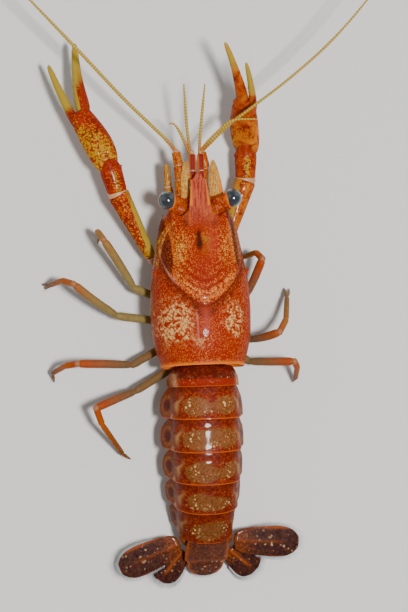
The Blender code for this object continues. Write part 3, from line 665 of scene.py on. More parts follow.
carapace = {
    "length": 17.1, "widestLevel": 5.6, "sides": 96, "rowsBehind": 26, "rowsAhead": 36,
    "halfWidths": ((0.0, 4.55), (1.4, 5.05), (3.3, 5.45), (6.3, 5.55), (9.2, 5.4), (10.9, 5.1),
                   (13.3, 4.7), (15.5, 4.25), (17.1, 3.7)),
    "tops": ((0.0, 9.75), (1.4, 10.15), (3.3, 10.4), (6.3, 10.45), (9.2, 10.3), (12.0, 9.95),
             (14.5, 9.3), (17.1, 8.4)),
    "lows": ((0.0, 3.1), (9.0, 3.0), (12.0, 3.5), (14.0, 4.1), (17.1, 5.1)),
    "grooveY": 6.5, "grooveSweep": 8.3, "groovePower": 1.5, "grooveDepth": 0.18, "grain": 0.11,
    "areola": 1.25,
    "spines": (((0.78, 19.9, 8.0), (1.02, 20.75, 8.12), 0.17), ((2.95, 16.4, 8.02), (3.02, 17.45, 7.82), 0.26),
               ((4.85, 9.7, 7.15), (5.42, 10.75, 7.38), 0.32), ((3.85, 15.6, 5.9), (3.8, 16.9, 5.95), 0.3),
               ((0, 20.4, 7.86), (0, 21.3, 7.98), 0.26))}
# y, half width and height of the top
rostrum = ((14.2, 1.5, 9.1), (15.2, 1.5, 9.02), (16.2, 1.42, 8.86), (17.4, 1.25, 8.66),
           (18.6, 1.08, 8.42), (19.9, 0.95, 8.18), (20.3, 0.9, 8.1), (20.55, 0.5, 8.05),
           (21.2, 0.2, 7.97))


def carapacePoint(y, turn):
    half, top, low = (along(carapace[key], y) for key in ("halfWidths", "tops", "lows"))
    level = carapace["widestLevel"]
    c, s = np.cos(turn), np.sin(turn)
    x = half * np.where(s >= 0, bulge(c, 0.92), bulge(c, 0.75) * (1 + 0.22 * s))
    z = level + np.where(s >= 0, (top - level) * bulge(s, 0.92), (level - low) * bulge(s, 0.8))
    return x, z


def grooveLine(offTop):
    return carapace["grooveY"] + carapace["grooveSweep"] * offTop ** carapace["groovePower"]


def turnedIn(ring, y, table):
    # rings that turn an open edge of the shell inwards, by rows of (size, depth)
    centre = np.array((0, y, 6.4))
    return [centre + (ring - centre) * share + (0, depth, 0) for share, depth in table]


def makeCarapace():
    turn = 2 * math.pi * np.arange(carapace["sides"]) / carapace["sides"]
    offTop = np.where(turn < math.pi, np.minimum(1, np.abs(math.pi / 2 - turn) / (math.pi / 2)), 1.0)
    line = grooveLine(offTop)
    frontX, frontZ = carapacePoint(np.full(len(turn), carapace["length"]), turn)
    # the front margin curves back round each eye and again down the cheek
    front = carapace["length"] - 0.8 * hump(np.abs(frontX), 2.1, 0.62) * (frontZ > 6)
    front -= 0.9 * rise(-frontZ, -7.6, -5.6)
    behind = 1 - (1 - np.linspace(0, 1, carapace["rowsBehind"])) ** 1.3
    ahead = np.linspace(0, 1, carapace["rowsAhead"] + 1)[1:] ** 1.3
    rear = -0.25 * offTop ** 2
    rows = [rear + (line - rear) * share for share in behind]
    rows += [line + (front - line) * share for share in ahead]
    rings = []
    for y in rows:
        x, z = carapacePoint(y, turn)
        out = np.stack((x, np.zeros_like(x), z - carapace["widestLevel"]), axis=1)
        out /= np.linalg.norm(out, axis=1)[:, None]
        wide = np.abs(x)
        # the neck groove, the two lines of the areola, the rear rim, the ridges beside the rostrum
        # and the hollows outside them
        sink = carapace["grooveDepth"] * hump(y, line, 0.42) * (1 - 0.6 * offTop)
        sink *= rise(np.sin(turn), -0.25, 0.0)
        sink += 0.03 * hump(wide, carapace["areola"], 0.22) * (z > 8) * rise(y, 0.4, 1.0) * (y < line - 0.3)
        sink += 0.10 * hump(y, 0.55 + rear, 0.16) - 0.04 * hump(y, 0.15 + rear, 0.2)
        ridge = np.interp(y, (12.6, 14.4, 16.2, 17.1), (2.5, 2.75, 2.95, 3.0))
        sink -= 0.26 * hump(wide, ridge, 0.26) * rise(y, 12.4, 14.2) * (z > 6.6)
        sink -= 0.05 * hump(x, 0, 0.35) * rise(y, 9, 11) * (z > 8)
        sink += 0.10 * hump(wide, ridge + 0.75, 0.4) * rise(y, 13.2, 14.6) * (z > 5.8)
        rings.append(np.stack((x - out[:, 0] * sink, y, z - out[:, 2] * sink), axis=1))
    lip = turnedIn(rings[-1], carapace["length"] - 0.5, ((0.95, 0.06), (0.88, -0.25), (0.8, -0.7)))
    hem = turnedIn(rings[0], 0, ((0.86, 0.9), (0.92, 0.25), (0.97, -0.04)))
    shell = grow(hem + rings + lip, levels=0)
    beakRings = []
    for y in np.linspace(rostrum[0][0], rostrum[-1][0], 30):
        half, top = read(rostrum, y), read(rostrum, y, 2)
        rim = min(0.3, half * 0.36)
        outline = ((0, -rim), (-0.35, -rim * 0.9), (-0.62, -rim * 0.5), (-0.84, 0.0), (-0.97, -0.06),
                   (-1, -0.2), (-0.86, -0.42), (-0.45, -0.54), (0, -0.58), (0.45, -0.54), (0.86, -0.42),
                   (1, -0.2), (0.97, -0.06), (0.84, 0.0), (0.62, -rim * 0.5), (0.35, -rim * 0.9))
        beakRings.append([(a * half, y, top + b * (1 if abs(a) < 0.95 else min(1, half * 1.2)))
                          for a, b in outline])
    parts = [shell, grow(beakRings, levels=1)]
    for root, tip, radius in carapace["spines"]:
        for side in (-1, 1) if root[0] else (1,):
            parts.append(spike(root * np.array((side, 1, 1)), tip * np.array((side, 1, 1)), radius))
    return fuse(parts, carapace["grain"], 5)


def carapaceMarks(spots):
    x, y, z = spots.T
    wide = np.abs(x)
    level = carapace["widestLevel"]
    ring = y - grooveLine(1 - np.arctan2(np.maximum(z - level, 0), wide) / (math.pi / 2))
    ahead = rise(ring, -0.1, 0.3)
    top = z > 7.6
    # the markings lie a little to the left of the middle, as on the animal
    x = x + 0.45 * hump(y, 11, 4.5)
    left = x < 0
    flank = np.abs(x)
    # the dark crescent of the cheek, an arc of dots inside it and an eye-like field within
    arc = np.where(left, np.interp(y, (10.4, 11.3, 13.1, 14.4, 15.8, 16.6), (2.8, 2.75, 2.9, 3.2, 3.6, 3.5)),
                   np.interp(y, (10.6, 11.6, 13.0, 14.6, 15.6, 16.4), (4.0, 3.85, 3.65, 3.45, 3.2, 2.8)))
    gold = flank - np.interp(y, (10.0, 11.3, 13.1, 14.4, 15.4, 16.0), (4.4, 4.3, 4.0, 3.6, 3.0, 2.4))
    beyond = flank - arc
    cheek = rise(beyond, -0.2, 0.35) * rise(y, 8.8, 11.4) * rise(z, 4.9, 5.8)
    cheek *= 1 - np.where(left, 0.75 * rise(beyond, 1.0, 1.3), 0.5 * hump(beyond, 1.0, 0.22))
    cheek *= np.where(left, 1.05 - 0.8 * held(hump(gold, 0, 0.16) + hump(gold, 0.34, 0.15)), 0.75)
    field = hump(flank, np.where(left, 2.1, 2.9), 0.75) * hump(y, 12.6, 1.9) * np.where(left, 1.0, 0.55)
    arcs = np.where(left, hump(gold, 0, 0.13) + hump(gold, 0.34, 0.12),
                    hump(beyond, 0.12, 0.13) + 0.8 * hump(beyond, 0.75, 0.13))
    field = most(field, 1.2 * arcs * span(y, 10.2, 11.4, 15.0, 16.4) * (z > 5.4))
    shade = (0.55 * span(-ring, -0.1, 0.15, 0.9, 2.0) * (z > 6)
             + 0.42 * hump(x, -0.1, 0.8) * rise(-ring, 0.2, 0.6) * rise(y, 2.2, 3.2))
    dark = most(cheek, 0.7 * hump(flank, 1.55, 0.4) * hump(y, 15.6, 0.9) * (z > 6.5), shade,
                0.5 * hump(x, -2.2, 0.35) * hump(y, 13.5, 1.6))
    bright = (0.62 + 0.45 * hump(ring, 0.9, 0.9) * ahead * rise(11 - y, 0, 2) + 0.25 * field
              - 0.07 * (ring < 0) - 0.2 * hump(x, 0.3, 1.0) * hump(y, 12.0, 3.0) * ahead
              - 0.15 * hump(y, 15.8, 1.0))
    areola = held(1 - flank / np.interp(y, (3.0, 6.4), (0.25, 1.0))) * rise(y, 2.8, 3.6) * (ring < 0)
    beak = rise(y, 16.4, 17.4) * (1 - rise(wide, 0.6, 0.95)) * (z > 7.6)
    spot = held(1.3 * hump(x, -0.18, 0.3) * hump(y, 14.25, 0.55)
                + 1.6 * hump(x, -0.05, 0.42) * hump(y, 13.15, 0.72) - 0.3) * top
    marks = {
        "field": field, "spot": spot,
        "smooth": most(hump(x, 1.35, 0.7) * hump(y, 13.2, 1.8) * 0.65, areola * 0.9 * top, beak * 0.7),
        "beak": rise(y, 14.4, 17.2) * (1 - rise(wide, 1.3, 2.3)) * (z > 7.4),
        "chevron": hump(ring, 2.1, 1.6) * ahead * rise(3.9 - flank, 0, 1.2),
        "mottle": most((ring < -0.7) * most(1.2 * hump(x, -3.3, 2.0) * hump(y, 4.7, 2.6),
                                            1.15 * hump(x, 3.1, 1.3) * hump(y, 4.9, 2.2),
                                            0.8 * hump(x, -0.8, 1.6) * hump(y, 2.4, 0.7)), field * 0.4),
        "margin": 0.85 * hump(z, 5.5, 1.0) * span(y, 0.6, 2.4, 14.0, 16.0) * (wide > 3),
        "rim": most(hump(y, 0.0, 0.26) * (z > 4),
                    0.8 * rise(y, 17.3, 17.6) * rise(wide, 0.72, 0.9) * (z > 7.7),
                    hump(wide, 1.3, 0.16) * span(y, 15.2, 16.4, 17.4, 17.8) * top * 0.35,
                    hump(beyond, -0.1, 0.16) * span(y, 10.8, 11.8, 15.2, 16.2) * (z > 6.5) * 0.3),
        # painted shade along the bottom of the neck groove
        "groove": hump(ring, -0.15, 0.22) * (z > level) * (1 - rise(y, 9.5, 12.0)),
        "pale": most(hump(ring, 0.14, 0.16) * hump(x, -3.3, 0.6) * 0.35 * (z > 7),
                     hump(y, 16.6, 0.3) * hump(wide, 3.85, 0.25) * 0.7 * (z > 6),
                     hump(x, -1.0, 0.09) * span(y, 1.9, 2.6, 5.2, 6.0) * top * 0.2),
        "halo": (hump(x, 0.3, 0.62) * hump(y, 13.4, 0.95) - spot) * top}
    marks = {name: held(values) for name, values in marks.items()}
    return {**marks, "bright": bright, "dark": dark, "ring": np.clip(ring, -1, 6)}


settle(makeCarapace(), "carapace_shell", shellMaterial, ("carapace",), carapaceMarks)
print("carapace made")


# Eyes

eyes = {"radius": 1.0, "grain": 0.07, "spots": {"L": (-3.45, 18.15, 7.55), "R": (3.8, 18.25, 7.55)}}


def makeEyes():
    for side, sign in bothSides:
        middle = np.array(eyes["spots"][side])
        root = np.array((sign * 1.45, 17.75, 7.3))
        out = unit(middle - root)
        cornea = ball(middle, eyes["radius"], detail=(48, 32))
        settle(cornea, "eye_ball_" + side, eyeMaterial, ("eye_" + side,))
        stalk = tube([(root, 0.6, 0.55), (root + out * 0.7, 0.66, 0.6), (middle - out * 1.0, 0.68, 0.68),
                      (middle - out * 0.72, 0.8, 0.8), (middle - out * 0.52, 0.87, 0.87),
                      (middle - out * 0.47, 0.8, 0.8)], sides=20)
        lumps = [ball(root + (sign * 0.55, -0.55, -0.15), 0.95, (1.1, 0.9, 0.72)),
                 ball(middle + (-sign * 0.75, -0.75, -0.25), 0.78, (1.0, 0.85, 0.8))]
        stalk = fuse([stalk] + lumps, eyes["grain"], 5)
        settle(stalk, "eye_stalk_" + side, browMaterial, ("eyestalk_" + side,),
               lambda spots: {"edge": hump(np.linalg.norm(spots - middle, axis=1), 1.02, 0.08)})


makeEyes()
skin = tube([((0, 16.5, 6.6), 3.1, 1.2), ((0, 17.2, 6.7), 3.0, 1.15), ((0, 17.8, 6.8), 2.5, 0.85),
             ((0, 18.3, 6.9), 1.7, 0.5), ((0, 18.6, 6.95), 1.0, 0.25)], sides=24, levels=2)
settle(skin, "brow_skin", browMaterial)
print("eyes made")


# Feelers

def whip(points, rootRadius, keep=0.65, steps=30, pitch=0.42, tipRadius=0.07):
    path = np.array(curve(points, steps))
    # evenly spaced rings, so that each joint of the whip gets its own swelling
    lengths = np.concatenate(([0], np.cumsum(np.linalg.norm(np.diff(path, axis=0), axis=1))))
    at = np.arange(0, lengths[-1], pitch / 2)
    even = np.stack([np.interp(at, lengths, path[:, k]) for k in range(3)], axis=1)
    share = at / lengths[-1]
    thinned = 0.12 * share + 0.88 * np.maximum(0, (share - keep) / (1 - keep))
    radii = rootRadius + (tipRadius - rootRadius) * thinned
    radii *= np.where(np.arange(len(at)) % 2, 1.07, 0.93)

    def marks(spots):
        nearest = np.argmin(np.linalg.norm(spots[:, None] - even, axis=2), axis=1)
        return {"length": at[nearest], "root": 0.7 * (1 - rise(at[nearest], 0.5, 2.5))}
    return tube(list(zip(even, radii, radii)), sides=8, levels=0), marks


joint = {"shape": ((0, 0.86), (0.05, 0.97), (0.3, 0.98), (0.75, 1.02), (0.95, 1.07), (1, 1.0)), "gap": 0.02}


def bead(centre, radius, squash=(1, 1, 1)):
    # a small ball of soft skin in a joint
    return ball(centre, radius, squash, detail=(14, 10))


def joined(points, widths, sides=12, flat=0.92):
    # a limb of several joints, each a closed form, with soft skin between them
    points = arrays(*points)
    parts, skins = [], []
    for i, (a, b) in enumerate(zip(points, points[1:])):
        way = unit(b - a)
        start = a + way * (joint["gap"] if i else 0)
        end = b - way * joint["gap"]
        stations = []
        for share, swell in joint["shape"]:
            width = (widths[i] + (widths[i + 1] - widths[i]) * share) * swell
            stations.append((start + (end - start) * share, width, width * flat))
        parts.append(tube(stations, sides=sides, up=(0, 0, 1) if abs(way[2]) < 0.93 else (0, 1, 0.2)))
        if i:
            skins.append(bead(a, widths[i] * 0.8))
    return parts, skins


feelers = {
    "whipRoot": {"L": 0.2, "R": 0.165},
    "antennuleBase": {"L": (-0.4, 6.75), "R": (0.54, 6.75)},
    "antennuleTips": {
        "L": (((-0.62, 23.7, 6.8), (-0.95, 26.2, 7.4), (-1.3, 30.9, 8.6)),
              ((-0.8, 23.7, 6.7), (-1.5, 25.3, 6.9), (-2.3, 26.5, 7.3), (-3.0, 26.6, 7.3))),
        "R": (((0.42, 23.7, 6.85), (0.6, 26.2, 7.4), (1.05, 30.8, 8.6)),
              ((0.72, 23.8, 6.95), (2.0, 25.2, 8.0), (3.9, 26.6, 9.0), (6.7, 26.7, 9.0)))},
    "stalk": {"L": ((-1.6, 17.3, 5.9), (-1.62, 18.9, 6.0), (-1.7, 20.5, 6.12), (-1.85, 22.1, 6.2),
                    (-2.1, 23.6, 6.3)),
              "R": ((2.3, 17.3, 5.2), (2.05, 18.7, 5.22), (1.7, 20.2, 5.27), (1.3, 21.8, 5.35),
                    (0.85, 23.6, 5.6))},
    "whip": {"L": ((-2.1, 23.6, 6.3), (-3.4, 25.1, 6.8), (-7.75, 29.2, 8.0), (-12.66, 34.3, 9.5),
                   (-18.0, 39.8, 11.0), (-21.7, 43.6, 12.0)),
             "R": ((0.85, 23.6, 5.6), (1.9, 24.6, 6.4), (3.8, 26.4, 8.0), (5.8, 27.8, 9.2),
                   (10.1, 30.9, 10.9), (14.5, 34.6, 12.0), (18.6, 39.0, 13.0), (21.7, 43.2, 14.0))}}


def makeFeelers():
    for side in "LR":
        x, z = feelers["antennuleBase"][side]
        points = [(x * 1.15, 17.3, z), (x, 19.5, z), (x, 21.4, z), (x, 23.25, z)]
        parts, skins = joined(points, (0.4, 0.42, 0.42, 0.4))
        settle(join(parts), "antennule_stalk_" + side, antennuleMaterial, ("antennule_" + side,),
               lambda spots: {"edge": rise(np.abs(spots[:, 0] - x * 1.04), 0.2, 0.32)})
        skins.append(bead((x, 23.4, z), 0.28))
        settle(join(skins), "antennule_skin_" + side, membraneMaterial)
        for order, tips in enumerate(feelers["antennuleTips"][side]):
            root = (x + (tips[0][0] - x) * 0.6, 23.2, z + (tips[0][2] - z) * 0.6)
            form, marks = whip([root] + list(tips), 0.17, pitch=0.34, steps=24)
            settle(form, "antennule_whip_%d_%s" % (order + 1, side), feelerMaterial, (), marks)
        parts, skins = joined(feelers["stalk"][side], (0.74, 0.74, 0.66, 0.56, 0.48), sides=14)
        settle(join(parts), "antenna_base_" + side, antennaMaterial, ("antenna_stalk_" + side,))
        skins.append(bead(feelers["whip"][side][0], 0.33))
        settle(join(skins), "antenna_skin_" + side, membraneMaterial)
        form, marks = whip(feelers["whip"][side], feelers["whipRoot"][side], keep=0.6)
        settle(form, "antenna_whip_" + side, feelerMaterial, ("antenna_" + side,), marks)


makeFeelers()

# x, y and half width along each antenna scale, and its level
scales = {
    "L": (((-1.35, 17.3, 0.45), (-1.36, 18.6, 0.54), (-1.32, 20.4, 0.54), (-1.25, 21.8, 0.42),
           (-1.15, 22.6, 0.14)), 6.85),
    "R": (((2.25, 17.3, 0.7), (2.25, 18.6, 0.85), (2.1, 20.3, 0.75), (2.0, 21.7, 0.5),
           (2.0, 22.7, 0.12)), 6.25)}


def makeScales():
    for side, sign in bothSides:
        line, level = scales[side]
        stations = [((x, y, level), half, 0.16) for x, y, half in line]
        blade = tube(stations, sides=12, levels=2)
        middle = line[2][0]
        settle(blade, "antenna_leaf_" + side, scaleMaterial, ("antenna_scale_" + side,),
               lambda spots: {"edge": np.maximum(rise((spots[:, 0] - middle) * sign, 0.4, 0.6),
                                                 1 - rise(spots[:, 1], 17.6, 19.2))})
        many = 34
        at = np.linspace(0.1, 1.0, many)
        ys = 18.0 + at * 4.5
        xs, halves = (np.interp(ys, [row[1] for row in line], [row[k] for row in line]) for k in (0, 2))
        roots = np.stack((xs - sign * halves * 0.9, ys, np.full(many, level)), axis=1)
        ways = np.stack((-sign * (1.0 - at * 0.7), 0.5 + at, np.zeros(many)), axis=1)
        hair = bristles(roots, ways, np.full(many, 0.45), "scale")
        settle(hair, "antenna_leaf_fringe_" + side, bristleMaterial)


makeScales()

palps = {
    "L": ((-1.0, 12.8, 1.9), (-1.7, 15.5, 2.2), (-2.3, 18.0, 3.2), (-2.8, 20.0, 3.9), (-2.9, 22.0, 4.2)),
    "R": ((1.0, 12.8, 1.9), (1.5, 15.5, 2.2), (1.9, 18.0, 2.8), (1.9, 19.6, 2.9), (1.4, 21.0, 2.5))}


def makePalps():
    for side in "LR":
        points = arrays(*palps[side])
        parts, skins = joined(points, (0.46, 0.52, 0.52, 0.48, 0.36))
        parts.append(bead(points[-1], 0.36, (1, 1.5, 0.8)))
        settle(join(parts), "mouth_leg_" + side, mouthMaterial, ("maxilliped_" + side,))
        settle(join(skins), "mouth_leg_skin_" + side, membraneMaterial)
        roots, ways = [], []
        for a, b in zip(points[1:], points[2:]):
            for share in np.linspace(0.1, 0.95, 12):
                for turn in (-0.6, 0.0, 0.6):
                    roots.append(a + (b - a) * share)
                    ways.append(unit(b - a) * 0.8 + np.array((math.sin(turn), 0, -math.cos(turn))))
        hair = bristles(roots, ways, seeds.uniform(0.6, 1.0, len(roots)), "mouth")
        settle(hair, "mouth_leg_hair_" + side, bristleMaterial)


makePalps()
print("feelers made")


# Abdomen

abdomen = {
    # y, height of the back, half width and tilt at each joint
    "joints": ((-0.55, 9.3, 3.75, 0.0), (-2.35, 9.45, 3.7, 2.0), (-5.95, 9.35, 3.82, 5.0),
               (-9.6, 9.0, 3.8, 9.0), (-13.1, 8.2, 3.65, 14.0), (-16.3, 6.95, 3.45, 22.0),
               (-19.5, 5.1, 3.0, 34.0)),
    "arch": 3.2, "lobes": (1.1, 3.0, 3.0, 2.8, 2.5, 2.0), "flare": 0.33, "wall": 0.6, "belly": 1.2,
    "swimmerets": ((0.7, 40), (2.0, 62), (2.0, 58), (1.7, 45), (1.1, 15)), "backPoints": 40,
    # lobes of each tan saddle: place across and along, half sizes and strength
    "saddles": {2: ((-0.38, 0.6, 0.4, 0.32, 1.0), (0.5, 0.58, 0.33, 0.3, 1.0), (0.05, 0.64, 0.4, 0.2, 0.6)),
                3: ((-0.3, 0.6, 0.5, 0.34, 1.0), (0.48, 0.58, 0.36, 0.32, 1.0), (0.1, 0.52, 0.5, 0.3, 0.9)),
                4: ((-0.25, 0.6, 0.52, 0.35, 1.0), (0.62, 0.55, 0.22, 0.28, 0.9),
                    (0.25, 0.66, 0.3, 0.22, 0.7)),
                5: ((0.0, 0.64, 0.7, 0.26, 1.0), (-0.3, 0.54, 0.4, 0.28, 0.9)),
                6: ((0.0, 0.6, 0.64, 0.34, 0.95), (0.3, 0.5, 0.36, 0.26, 0.8))}}


def somiteRing(joint, size, lobe):
    y, top, half, tilt = joint
    angle = math.radians(tilt)
    half = half * size
    arch = abdomen["arch"] * size
    flare, wall, belly = abdomen["flare"], abdomen["wall"], abdomen["belly"]
    turn = math.pi * np.arange(abdomen["backPoints"] + 1) / abdomen["backPoints"]
    c, s = np.cos(turn), np.sin(turn)
    outline = list(zip(half * bulge(c, 0.85), arch * np.abs(s) ** 0.88))
    tip = half + flare * lobe
    inner = half - wall
    left = [(-half - flare * lobe * 0.28, -lobe * 0.25), (-half - flare * lobe * 0.52, -lobe * 0.5),
            (-half - flare * lobe * 0.78, -lobe * 0.76), (-tip + 0.03, -lobe * 0.97),
            (-tip + wall * 0.45, -lobe), (-tip + wall * 0.8, -lobe * 0.9),
            (-inner - flare * lobe * 0.3, -lobe * 0.45 - 0.2),
            (-inner, -min(0.8, lobe * 0.5)), (-half * 0.45, -belly)]
    right = [(-x, z) for x, z in reversed(left)]
    outline += left + [(0.0, -belly * 1.05)] + right
    xs, zs = np.array(outline).T
    down = abdomen["arch"] - zs
    return np.stack((xs, y + down * math.sin(angle), top - down * math.cos(angle)), axis=1)


def mixJoints(first, second, share):
    return tuple(a + (b - a) * share for a, b in zip(first, second))


def makeSomite(order):
    first, second = abdomen["joints"][order - 1:order + 1]
    depth = abdomen["lobes"][order - 1]
    profile = np.array(((-0.16, 0.86, 0.2), (0.0, 0.925, 0.36), (0.1, 0.945, 0.62), (0.24, 0.955, 0.82),
                        (0.3, 0.975, 0.88), (0.55, 0.99, 1.0), (0.78, 1.0, 0.97), (0.9, 1.012, 0.84),
                        (0.96, 1.025, 0.74), (1.0, 1.02, 0.66)))
    if order == 1:
        profile[0] = (-0.35, 0.8, 0.1)
    shares = np.concatenate((np.linspace(profile[0][0], 0.2, 5), np.linspace(0.26, 0.9, 12),
                             (0.94, 0.975, 1.0)))
    rings = []
    for share in shares:
        size = read(profile, share) - 0.008 * hump(share, 0.27, 0.03)
        rings.append(somiteRing(mixJoints(first, second, share), size, depth * read(profile, share, 2)))
    for share, size in ((1.005, 0.985), (0.97, 0.93), (0.9, 0.85)):
        rings.append(somiteRing(mixJoints(first, second, share), size, depth * 0.6))
    plate = grow(rings, levels=1)
    reach = first[0] - second[0]

    def marks(spots):
        # undo the tilt: how far along the segment, how far down and how far across
        x, y, z = spots.T
        share = np.zeros(len(x))
        down = np.zeros(len(x))
        for _ in range(4):
            tops = first[1] + (second[1] - first[1]) * share
            tilt = np.radians(first[3] + (second[3] - first[3]) * share)
            down = (tops - z) / np.cos(tilt)
            share = (first[0] - (y - down * np.sin(tilt))) / reach
        half = first[2] + (second[2] - first[2]) * share
        across = x / half
        deep = down - abdomen["arch"]
        back = 1 - rise(down, 2.4, 3.0)
        oval = np.zeros(len(x))
        for centre, level, wide, long, strength in abdomen["saddles"].get(order, ()):
            away = ((across - centre) / wide) ** 2 + ((share - level) / long) ** 2
            oval = np.maximum(oval, strength * (1 - rise(away, 0.4, 1.4)) * back)
        sideShare = np.hypot((share - 0.58) / 0.19, (deep - 0.30 * depth) / (0.20 * depth + 0.1))
        if order == 1:
            front = (1 - rise(share, 0.45, 0.6)) * (1 - rise(down, 1.9, 2.3))
            hinge = 0.8 * hump(np.abs(across), 0.93, 0.07) * rise(share, 0.0, 0.3)
            special = {"sash": rise(share, 0.5, 0.62) * (1 - rise(down, 2.0, 2.5))}
            lobeEdge = 0
        else:
            front = (1 - rise(share, 0.12, 0.26)) * back * 0.6
            hinge = hump(share, 0.93, 0.09) * hump(down, 2.55, 0.4)
            stripe = hump(np.abs(across), 0.9 - 0.14 * rise(share, 0.55, 0.3), 0.05)
            special = {"stripe": stripe * hump(share, 0.55, 0.22), "sideSpot": 1 - rise(sideShare, 0.8, 1.1),
                       "sideRing": hump(sideShare, 1.5, 0.25)}
            lobeEdge = rise(deep, 0.84 * depth, 0.97 * depth)
        return {"oval": oval, "front": front, "hinge": held(hinge * 1.2), "side": rise(down, 2.2, 3.0),
                "fleck": held(hump(np.abs(across), 0.52, 0.17) * hump(share, 0.6, 0.2) * 1.4
                              + hump(across, 0.0, 0.2) * hump(share, 0.78, 0.12) * 0.7) * back,
                "rear": most(rise(share, 0.955, 0.975) * 0.75, 0.6 * lobeEdge),
                "belly": rise(down, 3.6, 4.0) * (np.abs(x) < half - 0.45),
                "shade": max(0, order - 2) * 0.08, **special}

    settle(plate, "segment_%d" % order, abdomenMaterial, ("somite_%d" % order,), marks)


def makeSwimmerets():
    for order in range(1, 6):
        y, top, _, tilt = mixJoints(*abdomen["joints"][order - 1:order + 1], 0.5)
        tilt = math.radians(tilt)
        deep = abdomen["arch"] + abdomen["belly"]
        belly = np.array((0, y + deep * math.sin(tilt), top - deep * math.cos(tilt)))
        length, lean = abdomen["swimmerets"][order - 1]
        lean = math.radians(lean)
        parts, roots, ways = [], [], []
        for side in (-1, 1):
            for x, spread in ((1.75, 0.4), (1.43, -0.25)):
                root = belly + (side * x, 0.2, 0.55)
                knee = belly + (side * (x + spread * 0.3), 0.1, -0.4)
                reach = np.array((side * spread, -math.sin(lean) * length, -math.cos(lean) * length))
                blade = stretch(knee, reach, (
                    (0, 0.28, 0.26), (0.5, 0.32, 0.15), (0.85, 0.22, 0.1), (1, 0.08, 0.06)))
                parts.append(tube([(root, 0.3, 0.3)] + blade, sides=10, up=(0, 1, 0.3)))
                for share in np.linspace(0.3, 1.0, 10):
                    for way in (-0.7, 0.7):
                        roots.append(knee + reach * share)
                        ways.append(unit(reach) + (way, 0, 0))
        settle(join(parts), "swimmerets_%d" % order, legMaterial, (), lambda spots: {"limb": 0.55})
        tops = [max(0.15, min(0.5, root[2] / 3)) for root in roots]
        hair = flatten(bristles(roots, ways, tops, "swimmeret"))
        settle(hair, "swimmeret_hair_%d" % order, bristleMaterial)


for index in range(1, 7):
    makeSomite(index)
makeSwimmerets()
print("abdomen made")


# Tail fan

fan = {"tilt": 44.0, "root": (0.0, -19.25, 4.6), "telson": 5.2, "thickness": 0.6, "outerHalf": 1.75,
       "innerHalf": 1.7}
blades = {
    "L": {"base": (-2.7, -19.3, 3.05), "outer": (-9.55, -22.0, 2.15), "innerRoot": (-2.5, -20.1, 1.85),
          "inner": (-5.0, -23.5, 0.75)},
    "R": {"base": (2.9, -19.3, 3.05), "outer": (10.5, -19.8, 2.75), "innerRoot": (2.8, -20.3, 1.85),
          "inner": (5.8, -22.8, 0.95)}}
bladeShape = ((0.0, 0.42), (0.06, 0.66), (0.14, 0.78), (0.35, 0.92), (0.6, 1.0), (0.7, 0.99), (0.82, 0.93),
              (0.93, 0.7), (1.0, 0.3))


def fanPoint(across, down, lift=0.0):
    tilt = math.radians(fan["tilt"])
    across = np.asarray(across, float)
    return np.stack(np.broadcast_arrays(
        across, fan["root"][1] - down * math.cos(tilt) - lift * math.sin(tilt),
        fan["root"][2] - down * math.sin(tilt) + lift * math.cos(tilt)), axis=-1)


def makeTelson():
    rings = []
    table = ((-0.4, 2.2), (0.35, 2.35), (1.2, 2.45), (2.9, 2.4), (3.1, 2.1), (4.2, 1.95), (4.9, 1.45),
             (5.2, 0.8))
    turn = 2 * math.pi * np.arange(32) / 32
    c, s = np.cos(turn), np.sin(turn)
    for down in np.concatenate((np.linspace(-0.4, 2.8, 10), (2.95, 3.1), np.linspace(3.4, 5.2, 9))):
        half = read(table, down)
        share = max(0, down) / fan["telson"]
        thick = np.where(s > 0, 0.75 - 0.3 * share, 0.5) * fan["thickness"]
        lift = s * thick + 0.06 * hump(c, 0, 0.12) * (s > 0) - 0.07 * hump(down, 3.0, 0.1) * (s > 0)
        rings.append(fanPoint(half * bulge(c, 0.8), down, lift))
    return grow(rings, levels=1)


def telsonMarks(spots):
    down = (fan["root"][1] - spots[:, 1]) / math.cos(math.radians(fan["tilt"]))
    half = np.interp(down, (0, 2.9, 3.2, 4.2, 5.2), (2.4, 2.4, 2.05, 1.95, 0.8))
    return {"edge": rise(np.abs(spots[:, 0]) / half, 0.8, 0.98) * 0.8, "fleck": hump(down, 3.6, 1.0) * 0.9,
            "rib": hump(down, 3.0, 0.12) * 0.3, "warm": 0.5 - 0.15 * rise(down, 2.5, 5.0)}


def bladeFrame(root, tip, topSide):
    root, tip = arrays(root, tip)
    way = unit(tip - root)
    across = unit(np.cross(way, topSide))
    return root, np.linalg.norm(tip - root), way, across, np.cross(across, way)


def makeBlade(root, tip, halfWidth, topSide, seam):
    root, length, way, across, lift = bladeFrame(root, tip, topSide)
    half = fan["thickness"] * 0.45
    depths = ((0.0, 1.0), (0.66, 1.0), (0.69, 0.72 if seam else 0.95), (0.82, 0.72), (0.93, 0.6), (1.0, 0.4))
    turn = 2 * math.pi * np.arange(32) / 32
    c, s = np.cos(turn), np.sin(turn)
    rings = []
    shares = np.concatenate((np.linspace(0, 0.62, 10), (0.655, 0.675, 0.69), np.linspace(0.73, 1.0, 10)))
    for share in shares:
        width = halfWidth * along(bladeShape, share, 0.03)
        thick = half * read(depths, share)
        rib = 0.14 * (1 - share) * hump(c, 0, 0.1) * (s > 0)
        beside = 0.07 * (1 - share) * hump(c, 0.45, 0.07) * (s > 0)
        rings.append(root + way * length * share + np.outer(bulge(c, 0.9) * width, across)
                     + np.outer(bulge(s, 0.6) * thick * 0.8 + rib + beside, lift))
    return grow(rings, levels=1)


